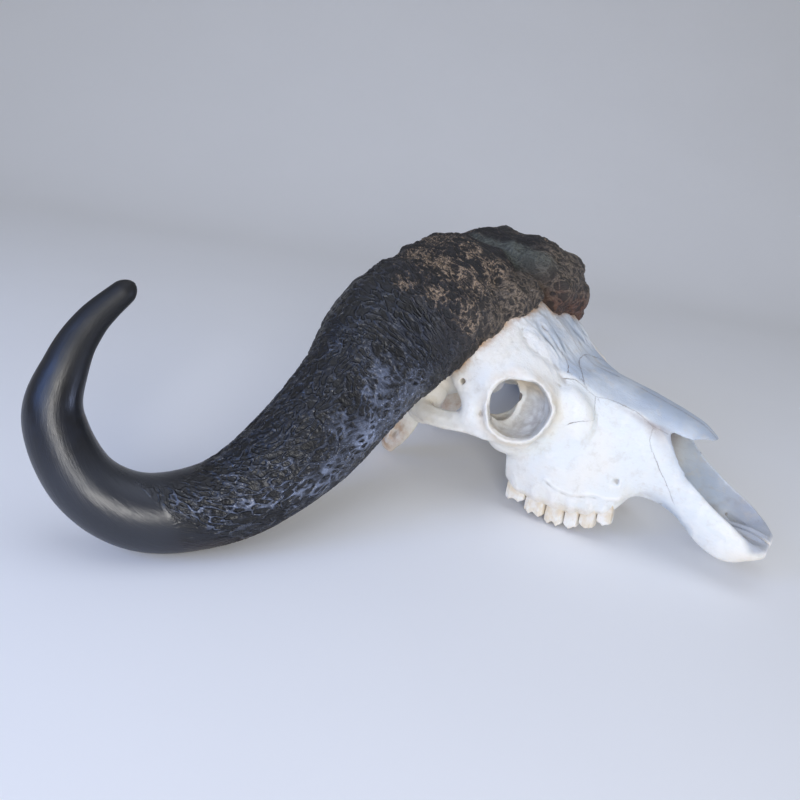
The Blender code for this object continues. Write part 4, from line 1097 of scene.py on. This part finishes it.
def bone_material(props):
    """Bone bleached by the sun and left bare: chalky white, faintly grained, porous where horn sat."""
    material, add = new_material("sun_bleached_bone")
    place = add("TexCoord", {}, "Object")
    names = ("stain", "warm", "hollow", "suture", "porous", "inner", "painted_shade", "suture_gap", "groove")
    stain, warm, hollow, suture, porous, inner, painted_shade, suture_gap, groove = (
        add("Attribute", {}, "Fac", attribute_name=name) for name in names
    )

    # Clouds 4 to 8 cm wide between a cool and a warm white, as where grease left the bone unevenly
    clouds = add("TexNoise", {"Vector": place, "Scale": 16.0, "Detail": 3.0, "Roughness": 0.55})
    cloudy = add("MapRange", (clouds, 0.35, 0.68), **SMOOTH)
    cream = add("MapRange", (clouds, 0.2, 0.6, 0.55, 1.0), **SMOOTH)
    cream = add("Math", (warm, cream), **MULTIPLY)

    # Roof of the nose, forehead and trough: painted shade, greyer and bluer
    shade = add("MapRange", (clouds, 0.35, 0.62, 0.45, 0.85), **SMOOTH)
    shade = add("Math", (painted_shade, shade), **MULTIPLY)

    # Mottling 1 cm wide, a little greyer or yellower than the rest
    mottle = add("TexNoise", {"Vector": place, "Scale": 75.0, "Detail": 4.0, "Roughness": 0.65})
    mottled = add("MapRange", (mottle, 0.50, 0.72, 0.0, 0.38), **SMOOTH)

    # Grain of the bone: streaks 2 mm wide and 2 cm long that run to the nose
    grain = add("VectorMath", (place, (1.0, 14.0, 9.0)), **MULTIPLY)
    grain = add("TexNoise", {"Vector": grain, "Scale": 46.0, "Detail": 3.0, "Roughness": 0.6})
    grained = add("MapRange", (grain, 0.52, 0.8, 0.0, 0.16), **SMOOTH)

    # Brown stain from tissue and soil by the horn's rim, broken into 4 mm flecks
    flecks = add("TexNoise", {"Vector": place, "Scale": 260.0, "Detail": 2.0, "Roughness": 0.7})
    flecks = add("Math", (flecks, 0.5), **SUBTRACT)
    flecks = add("Math", (flecks, 0.4), **MULTIPLY)
    broken = add("Math", (stain, flecks), **ADD)
    stained = add("MapRange", (broken, 0.15, 0.85, 0.0, 0.85), **SMOOTH)
    deeply_stained = add("MapRange", (broken, 0.75, 1.15, 0.0, 0.6), **SMOOTH)

    # Dust and painted shade in hollows, painted shade in the forehead's grooves and inside the nose passage,
    # and edges rubbed whiter
    groove_shade = add("MapRange", (groove, 0.05, 0.5, 0.0, 0.6), **SMOOTH)
    dust_and_shade = add("MapRange", (hollow, 0.28, 0.95, 0.0, 0.5), **SMOOTH)
    rubbed = add("MapRange", (hollow, -0.15, -0.6, 0.0, 0.45), **SMOOTH)
    rubbed = add("Math", (rubbed, add("Math", (1.0, painted_shade), **SUBTRACT)), **MULTIPLY)
    inside = add("Math", (inner, 0.62), **MULTIPLY)

    # Joints between the bones: hair-thin brown zigzags, 0.5 to 1 mm wide
    jitter = add("TexNoise", {"Vector": place, "Scale": 420.0, "Detail": 2.0, "Roughness": 0.65})
    wave = add("Math", (jitter, 0.5), **SUBTRACT)
    wave = add("Math", (wave, 0.30), **MULTIPLY)
    joint = add("Math", (suture, wave), **ADD)
    joint = add("Math", (joint,), **ABSOLUTE)
    joint = add("MapRange", (joint, 0.02, 0.065, 1.0, 0.0), **SMOOTH)
    for value, limits in ((suture_gap, (0.40, 0.80, 1.0, 0.0)), (clouds, (0.36, 0.56, 0.3, 1.0))):
        kept = add("MapRange", (value, *limits), **SMOOTH)
        joint = add("Math", (joint, kept), **MULTIPLY)
    jointed = add("Math", (joint, 0.66), **MULTIPLY)

    # Pores half a millimetre wide where the bone is spongy, and rare ones elsewhere, with painted shade in
    # them
    pores = add("TexVoronoi", {"Vector": place, "Scale": 900.0})
    spots = add("TexNoise", {"Vector": place, "Scale": 130.0, "Detail": 1.0})
    spongy = add("Math", (porous, 0.32), **MULTIPLY)
    spongy = add("Math", (spongy, spots), **ADD)
    spongy = add("MapRange", (spongy, 0.62, 0.86), **SMOOTH)
    pore = add("MapRange", (pores, 0.10, 0.32, 1.0, 0.0), **SMOOTH)
    pore = add("Math", (pore, spongy), **MULTIPLY)
    pore_shade = add("Math", (pore, 0.32), **MULTIPLY)

    # The layers from the bone outwards: how much of each shows, and its colour
    colour = props.cool_white
    for share, tint in (
        (cloudy, props.warm_white),
        (cream, props.cream),
        (shade, props.shade),
        (mottled, hex_colour("cfc8ba")),
        (grained, hex_colour("c9bda8")),
        (stained, props.stain),
        (deeply_stained, hex_colour("7c4c2a")),
        (groove_shade, hex_colour("8b97a4")),
        (dust_and_shade, hex_colour("8a7a68")),
        (rubbed, hex_colour("fbf8f1")),
        (inside, hex_colour("8d7a74")),
        (jointed, hex_colour("775a44")),
        (pore_shade, hex_colour("8b745c")),
    ):
        colour = add("Mix", {0: share, 6: colour, 7: tint}, 2, **COLOUR)

    # Relief too fine for the mesh: what makes it, its height in metres and its strength
    chalk = add("TexNoise", {"Vector": place, "Scale": 620.0, "Detail": 3.0, "Roughness": 0.62})
    normal = {}
    for height, distance, strength in (
        (mottle, 0.0022, 0.45),
        (chalk, 0.0006, 0.7),
        (grain, 0.0005, 0.55),
        (pore, -0.0010, 0.8),
        (joint, -0.0012, 0.9),
    ):
        inputs = {"Height": height, "Distance": distance, "Strength": strength, **normal}
        normal = {"Normal": add("Bump", inputs)}

    surface = add("BsdfPrincipled", {
        "Base Color": colour,
        "Roughness": add("MapRange", (clouds, 0.3, 0.7, 0.50, 0.66), **SMOOTH),
        "Specular IOR Level": 0.38,
        "Subsurface Weight": 0.06,
        "Subsurface Radius": (0.006, 0.004, 0.003),
        "Subsurface Scale": 0.6,
        **normal,
    })
    add("OutputMaterial", {"Surface": surface})
    return material


def horn_material(props):
    """Horn that was never polished: like bark on the boss, ridged and waxy below, worn smooth at the tip."""
    material, add = new_material("weathered_black_horn")
    straight, warped = (
        add("Attribute", {}, "Vector", attribute_name=name) for name in ("straight", "warped")
    )
    names = ("ridged", "rough", "boss", "net", "lengthwise", "lip", "cleft", "row", "patch", "under", "crack")
    ridged, rough, boss, net, lengthwise, lip, cleft, row, patch, under, crack = (
        add("Attribute", {}, "Fac", attribute_name=name) for name in names
    )
    plain = add("Math", (1.0, boss), **SUBTRACT)

    # Keratin: near black, bluer in 3 cm clouds, browner on the boss, black at the tip, and lighter grey at
    # the bend as dust with a painted sheen
    clouds = add("TexNoise", {"Vector": straight, "Scale": 0.34, "Detail": 3.0, "Roughness": 0.6})
    bluish = add("MapRange", (clouds, 0.38, 0.65), **SMOOTH)
    start = add("MapRange", (row, 6.4, 7.0), **SMOOTH)
    end = add("MapRange", (row, 8.9, 8.0), **SMOOTH)
    dust_and_sheen = add("Math", (start, end), **MULTIPLY)
    dust_and_sheen = add("Math", (dust_and_sheen, 0.75), **MULTIPLY)
    tip = add("MapRange", (row, 8.8, 10.4), **SMOOTH)
    brownish = add("MapRange", (clouds, 0.35, 0.62), **SMOOTH)
    boss_base = {0: brownish, 6: hex_colour("141318"), 7: hex_colour("262120")}
    boss_base = add("Mix", boss_base, 2, **COLOUR)

    # Wormy wrinkles about 5 mm apart, across the horn by the boss and along it farther out
    lines = []
    for scale in ((1.55, 0.70, 0.70), (0.70, 1.55, 1.55)):
        vector = add("VectorMath", (warped, scale), **MULTIPLY)
        line = {"Vector": vector, "Scale": 1.0, "Detail": 0.6, "Roughness": 0.4, "Distortion": 0.25}
        line = add("TexNoise", line)
        line = add("Math", (line, 0.5), **SUBTRACT)
        lines.append(add("Math", (line,), **ABSOLUTE))
    crosswise = add("Math", (1.0, lengthwise), **SUBTRACT)
    cross = add("Math", (lines[0], crosswise), **MULTIPLY)
    along = add("Math", (lines[1], lengthwise), **MULTIPLY)
    worm = add("Math", (cross, along), **ADD)
    worm = add("MapRange", (worm, 0.02, 0.10, 1.0, 0.0), **SMOOTH)

    # A net of 7 to 10 mm cells low on the side
    cells = add("VectorMath", (warped, (0.95, 1.35, 1.35)), **MULTIPLY)
    cells = add("TexVoronoi", {"Vector": cells, "Scale": 1.0}, feature="DISTANCE_TO_EDGE")
    cells = add("MapRange", (cells, 0.30, 0.10, 0.0, 1.0), **SMOOTH)
    netted = add("MapRange", (row, 4.9, 5.7, 1.0, 0.0), **SMOOTH)
    netted = add("Math", (net, netted), **MULTIPLY)
    pattern = add("Mix", {0: netted, 2: worm, 3: cells})
    from_mesh = add("Math", (ridged, 0.45), **MULTIPLY)
    from_pattern = add("Math", (pattern, 0.55), **MULTIPLY)
    relief = add("Math", (from_mesh, from_pattern), **ADD)
    relief = add("Math", (relief, rough), **MULTIPLY)

    # Pale rubbed ridge tops on the boss: tan patches 3 to 5 cm wide, broken up by wrinkles and 1 mm grit
    speck = add("VectorMath", (straight, (3.2, 2.4, 2.4)), **MULTIPLY)
    speck = {"Vector": speck, "Scale": 1.0, "Detail": 1.5, "Roughness": 0.55, "Distortion": 0.6}
    speck = add("TexNoise", speck)
    fine = add("VectorMath", (warped, (4.4, 4.4, 4.4)), **MULTIPLY)
    fine = add("TexNoise", {"Vector": fine, "Scale": 1.0, "Detail": 1.0})
    grit = add("TexNoise", {"Vector": straight, "Scale": 11.0, "Detail": 2.0, "Roughness": 0.7})
    grit = add("Math", (grit, 0.5), **SUBTRACT)
    crust = add("Math", (fine, add("Math", (grit, 1.1), **MULTIPLY)), **ADD)
    near_patch = add("Math", (patch, 0.42), **MULTIPLY)
    on_ridge = add("Math", (relief, 0.22), **MULTIPLY)
    tan = add("Math", (near_patch, on_ridge), **ADD)
    tan = add("Math", (tan, add("Math", (grit, 0.7), **MULTIPLY)), **ADD)
    tan = add("Math", (tan, speck), **ADD)
    tan = add("MapRange", (tan, 0.76, 1.10), **SMOOTH)
    for value, limits in ((boss, (0.15, 0.6)), (crust, (0.38, 0.60, 0.08, 1.0))):
        kept = add("MapRange", (value, *limits), **SMOOTH)
        tan = add("Math", (tan, kept), **MULTIPLY)
    tan = add("Math", (tan, 0.9), **MULTIPLY)

    # Front lip: grey-brown, finely speckled; cleft: smooth grey-green band; rusty underside of the boss
    speckled = add("MapRange", (crust, 0.34, 0.64, 0.2, 1.0), **SMOOTH)
    speckled = add("Math", (lip, speckled), **MULTIPLY)
    speckled = add("Math", (speckled, 0.80), **MULTIPLY)
    banded = add("MapRange", (crust, 0.30, 0.65, 0.35, 0.85), **SMOOTH)
    banded = add("Math", (cleft, banded), **MULTIPLY)
    rusty = add("Math", (under, boss), **MULTIPLY)
    rusty = add("Math", (rusty, add("MapRange", (clouds, 0.3, 0.6, 0.4, 1.0), **SMOOTH)), **MULTIPLY)
    rusty = add("Math", (rusty, 0.6), **MULTIPLY)
    edge = add("Math", (under, plain), **MULTIPLY)
    edge = add("Math", (edge, 0.45), **MULTIPLY)

    # Painted highlight: ridge tops painted pale bluish, most on the waxy net; painted shade: the hollows
    # between the ridges painted darker
    tops = add("MapRange", (relief, 0.30, 0.80), **SMOOTH)
    tops = add("Math", (tops, plain), **MULTIPLY)
    waxy = add("MapRange", (clouds, 0.42, 0.58, 0.20, 0.90), **SMOOTH)
    waxy = add("Math", (net, waxy), **MULTIPLY)
    painted_ridge_highlight = add("Math", (tops, add("Math", (waxy, 0.12), **ADD)), **MULTIPLY)
    valley_shade = add("MapRange", (relief, 0.35, 0.05), **SMOOTH)
    valley_shade = add("Math", (valley_shade, rough), **MULTIPLY)
    outside = add("Math", (1.0, add("Math", (cleft, 0.6), **MULTIPLY)), **SUBTRACT)
    valley_shade = add("Math", (valley_shade, outside), **MULTIPLY)
    valley_shade = add("Math", (valley_shade, 0.75), **MULTIPLY)

    # The layers from the keratin outwards: how much of each shows, and its colour
    colour = props.black
    for share, tint in (
        (bluish, props.blue_black),
        (dust_and_sheen, hex_colour("2c2f36")),
        (tip, hex_colour("050508")),
        (boss, boss_base),
        (tan, props.tan),
        (speckled, hex_colour("857664")),
        (banded, hex_colour("676c64")),
        (rusty, hex_colour("70432e")),
        (edge, hex_colour("3a2417")),
        (painted_ridge_highlight, hex_colour("747d92")),
        (valley_shade, hex_colour("080706")),
        (add("MapRange", (crack, 0.05, 0.45, 0.55, 0.0), **SMOOTH), hex_colour("4a2f22")),
        (add("MapRange", (crack, 0.03, 0.10, 1.0, 0.0), **SMOOTH), hex_colour("070505")),
    ):
        colour = add("Mix", {0: share, 6: colour, 7: tint}, 2, **COLOUR)

    # Roughness: most on the rough part and the boss, least on the waxy ridge tops
    gloss = add("MapRange", (rough, 0.2, 0.9, 0.33, 0.42), **SMOOTH)
    for value, weight, way in ((boss, 0.18, ADD), (tops, 0.16, SUBTRACT), (waxy, 0.10, SUBTRACT)):
        gloss = add("Math", (gloss, add("Math", (value, weight), **MULTIPLY)), **way)
    for value, limits in ((row, (9.3, 10.6, 0.0, 0.22)), (clouds, (0.3, 0.7, -0.04, 0.05))):
        gloss = add("Math", (gloss, add("MapRange", (value, *limits), **SMOOTH)), **ADD)

    # Fibres along the horn 1 mm apart, and the fine wrinkling of the rough part
    fibres = add("VectorMath", (straight, (0.35, 9.0, 9.0)), **MULTIPLY)
    fibres = add("TexNoise", {"Vector": fibres, "Scale": 1.0, "Detail": 2.0, "Roughness": 0.65})
    normal = {}
    for height, distance, strength in (
        (fibres, 0.0006, 0.35),
        (add("Math", (pattern, rough), **MULTIPLY), 0.0014, 1.0),
        (add("Math", (speck, rough), **MULTIPLY), 0.0022, 0.6),
        (add("Math", (crust, boss), **MULTIPLY), 0.0016, 0.8),
    ):
        inputs = {"Height": height, "Distance": distance, "Strength": strength, **normal}
        normal = {"Normal": add("Bump", inputs)}

    inputs = {"Base Color": colour, "Roughness": gloss, "Specular IOR Level": 0.6, **normal}
    add("OutputMaterial", {"Surface": add("BsdfPrincipled", inputs)})
    return material


def enamel_material(props):
    """Worn cheek teeth: ivory enamel with upright stripes, brown at the gum, ochre dentine on the face."""
    material, add = new_material("worn_tooth_enamel")
    place = add("TexCoord", {}, "Object")
    crown, dentine, pit = (
        add("Attribute", {}, "Fac", attribute_name=name) for name in ("crown", "dentine", "pit")
    )
    clouds = add("TexNoise", {"Vector": place, "Scale": 90.0, "Detail": 4.0})
    stripes = add("VectorMath", (place, (6.0, 6.0, 0.7)), **MULTIPLY)
    stripes = add("TexNoise", {"Vector": stripes, "Scale": 130.0, "Detail": 3.0, "Roughness": 0.6})
    colour = props.enamel
    for share, tint in (
        (add("MapRange", (clouds, 0.35, 0.65), **SMOOTH), props.ivory),
        (add("MapRange", (stripes, 0.55, 0.78, 0.0, 0.4), **SMOOTH), hex_colour("c4ae8e")),
        (add("MapRange", (crown, 0.45, 0.85, 0.0, 0.2), **SMOOTH), hex_colour("c8ad86")),
        (add("Math", (dentine, 0.6), **MULTIPLY), hex_colour("b08d5e")),
        (add("Math", (pit, 0.85), **MULTIPLY), hex_colour("4a3524")),
    ):
        colour = add("Mix", {0: share, 6: colour, 7: tint}, 2, **COLOUR)
    surface = add("BsdfPrincipled", {
        "Base Color": colour,
        "Roughness": add("MapRange", (dentine, 0.1, 0.8, 0.34, 0.55), **SMOOTH),
        "Subsurface Weight": 0.08,
        "Subsurface Radius": (0.004, 0.003, 0.002),
        "Subsurface Scale": 0.5,
        "Normal": add("Bump", {"Height": stripes, "Distance": 0.0006, "Strength": 0.5}),
    })
    add("OutputMaterial", {"Surface": surface})
    return material


def floor_material(props):
    """Matt white board with a faint unevenness."""
    material, add = new_material("matt_white_board")
    place = add("TexCoord", {}, "Object")
    clouds = add("TexNoise", {"Vector": place, "Scale": 3.0, "Detail": 4.0})
    uneven = add("MapRange", (clouds, 0.3, 0.7, 0.0, 0.3), **SMOOTH)
    darker = tuple(0.96 * value for value in props.floor)
    colour = add("Mix", {0: uneven, 6: props.floor, 7: darker}, 2, **COLOUR)
    inputs = {"Base Color": colour, "Roughness": 0.8, "Specular IOR Level": 0.2}
    add("OutputMaterial", {"Surface": add("BsdfPrincipled", inputs)})
    return material


# Stage

def add_area_light(name, place, way, size, power, colour):
    light = bpy.data.lights.new(name, "AREA")
    light.shape = "DISK"
    light.size = size
    light.energy = power
    light.color = colour
    obj = bpy.data.objects.new(name, light)
    obj.location = place
    obj.rotation_euler = way.to_track_quat("Z", "Y").to_euler()
    bpy.context.scene.collection.objects.link(obj)


def build_stage(props):
    bm = bmesh.new()
    bmesh.ops.create_grid(bm, x_segments=FLOOR_CELLS, y_segments=FLOOR_CELLS, size=FLOOR_HALF)
    turn = math.radians(CAMERA_TURN[2])
    for vert in bm.verts:
        behind = vert.co.y * math.cos(turn) - vert.co.x * math.sin(turn)
        vert.co.z = SWEEP_RISE * max(0.0, behind - SWEEP_START) ** 2
    floor = new_object("floor", bm)
    floor.data.shade_smooth()
    floor.data.materials.append(floor_material(props))

    world = bpy.data.worlds.new("pale_studio")
    bpy.context.scene.world = world
    world.use_nodes = True
    background = world.node_tree.nodes["Background"]
    background.inputs["Color"].default_value = (*hex_colour("f4f6fa"), 1.0)
    background.inputs["Strength"].default_value = props.surround

    for name, azimuth, height, distance, size, power, colour in LAMPS:
        turn, rise = math.radians(azimuth), math.radians(height)
        way = Vector((math.sin(turn) * math.cos(rise), -math.cos(turn) * math.cos(rise), math.sin(rise)))
        add_area_light(name, way * distance, way, size, power * props.lamps, hex_colour(colour))

    camera = bpy.data.cameras.new("camera")
    camera.lens = props.lens
    camera.sensor_width = SENSOR_WIDTH
    camera.clip_end = 30.0
    obj = bpy.data.objects.new("camera", camera)
    obj.location = CAMERA_PLACE
    obj.rotation_euler = Euler([math.radians(angle) for angle in CAMERA_TURN])
    bpy.context.scene.collection.objects.link(obj)
    bpy.context.scene.camera = obj
    bpy.context.scene.view_settings.view_transform = "Standard"


# Add-on

def colour_property(name, description, text):
    return FloatVectorProperty(
        name=name, description=description, default=hex_colour(text), min=0.0, max=1.0, size=3,
        subtype="COLOR",
    )


def size_property(name, description, size, least, most):
    return FloatProperty(
        name=name, description=description, default=size, min=least, max=most, precision=4,
        subtype="DISTANCE", unit="LENGTH",
    )


class BuffaloBone(PropertyGroup):
    fineness: size_property("Fineness", "Edge of the smallest detail of the bone", 0.0015, 0.0012, 0.005)
    groove_depth: size_property("Groove depth", "Depth of the grooves on the forehead", 0.0026, 0.0, 0.006)
    triangles: IntProperty(
        name="Triangles", description="Faces that are kept on the bone", default=192000, min=20000, max=199000
    )
    cool_white: colour_property("Cool white", "Bone in clean, shaded places", "e8ebea")
    warm_white: colour_property("Warm white", "Bone bleached by the sun", "efece4")
    cream: colour_property("Cream", "Eye rim, cheek arch and brow", "e2cba6")
    shade: colour_property("Shade", "Roof of the nose, forehead and trough", "a7b5c6")
    stain: colour_property("Stain", "Tissue and soil stain by the horns", "bc9266")


class BuffaloHorn(PropertyGroup):
    lump_size: size_property("Lump size", "Width of the lumps on the boss", 0.034, 0.01, 0.1)
    lump_height: size_property("Lump height", "Height of the lumps on the boss", 0.0115, 0.0, 0.02)
    ridge_gap: size_property("Ridge gap", "Distance between the wormy ridges", 0.006, 0.003, 0.02)
    ridge_height: size_property("Ridge height", "Height of the wormy ridges", 0.0016, 0.0, 0.004)
    black: colour_property("Black", "Horn keratin", "0d0d12")
    blue_black: colour_property("Blue black", "Second tone of the keratin", "12151f")
    tan: colour_property("Tan", "Rubbed patches on the boss", "ac947a")


class BuffaloTeeth(PropertyGroup):
    root: size_property("Root", "Length of a tooth from its chewing face to the jaw", 0.023, 0.015, 0.03)
    enamel: colour_property("Enamel", "Tooth walls", "f1ede4")
    ivory: colour_property("Ivory", "Second tone of the tooth walls", "e6d9c2")


class BuffaloStage(PropertyGroup):
    floor: colour_property("Floor", "Pale floor", "f7f7f7")
    surround: FloatProperty(
        name="Surround", description="Strength of the even light from all round", default=0.32, min=0.0
    )
    lamps: FloatProperty(name="Lamps", description="Strength of all lamps together", default=1.5, min=0.0)
    lens: FloatProperty(
        name="Lens", description="Focal length of the camera", default=35.59, min=10.0, unit="CAMERA"
    )


class OBJECT_OT_buffalo_bone(Operator):
    """Make the skull bone"""

    bl_idname = "object.buffalo_bone"
    bl_label = "Skull bone"

    def execute(self, context):
        build_bone(context.scene.buffalo_bone)
        return {"FINISHED"}


class OBJECT_OT_buffalo_horns(Operator):
    """Make both horn sheaths"""

    bl_idname = "object.buffalo_horns"
    bl_label = "Horn sheaths"

    def execute(self, context):
        props = context.scene.buffalo_horn
        material = horn_material(props)
        for side, word in SIDES:
            build_horn(props, side, word, material)
        return {"FINISHED"}


class OBJECT_OT_buffalo_teeth(Operator):
    """Make the cheek teeth"""

    bl_idname = "object.buffalo_teeth"
    bl_label = "Cheek teeth"

    def execute(self, context):
        props = context.scene.buffalo_teeth
        material = enamel_material(props)
        for side, word in SIDES:
            for tooth in TEETH:
                build_tooth(props, side, word, tooth, material)
        return {"FINISHED"}


class OBJECT_OT_buffalo_stage(Operator):
    """Make the floor, the lights and the camera"""

    bl_idname = "object.buffalo_stage"
    bl_label = "Floor, lights and camera"

    def execute(self, context):
        build_stage(context.scene.buffalo_stage)
        return {"FINISHED"}


class VIEW3D_PT_buffalo_skull(Panel):
    bl_label = "Buffalo skull"
    bl_space_type = "VIEW_3D"
    bl_region_type = "UI"
    bl_category = "Buffalo skull"

    def draw(self, context):
        for group, operator in (
            ("buffalo_bone", "object.buffalo_bone"),
            ("buffalo_horn", "object.buffalo_horns"),
            ("buffalo_teeth", "object.buffalo_teeth"),
            ("buffalo_stage", "object.buffalo_stage"),
        ):
            box = self.layout.box()
            props = getattr(context.scene, group)
            for name in props.__annotations__:
                box.prop(props, name)
            box.operator(operator)


CLASSES = (
    BuffaloBone,
    BuffaloHorn,
    BuffaloTeeth,
    BuffaloStage,
    OBJECT_OT_buffalo_bone,
    OBJECT_OT_buffalo_horns,
    OBJECT_OT_buffalo_teeth,
    OBJECT_OT_buffalo_stage,
    VIEW3D_PT_buffalo_skull,
)


def register():
    for cls in CLASSES:
        bpy.utils.register_class(cls)
    bpy.types.Scene.buffalo_bone = PointerProperty(type=BuffaloBone)
    bpy.types.Scene.buffalo_horn = PointerProperty(type=BuffaloHorn)
    bpy.types.Scene.buffalo_teeth = PointerProperty(type=BuffaloTeeth)
    bpy.types.Scene.buffalo_stage = PointerProperty(type=BuffaloStage)


def unregister():
    for name in ("buffalo_bone", "buffalo_horn", "buffalo_teeth", "buffalo_stage"):
        delattr(bpy.types.Scene, name)
    for cls in reversed(CLASSES):
        bpy.utils.unregister_class(cls)


def main():
    register()
    bpy.ops.object.buffalo_stage()
    bpy.ops.object.buffalo_bone()
    bpy.ops.object.buffalo_horns()
    bpy.ops.object.buffalo_teeth()


if __name__ == "__main__":
    main()
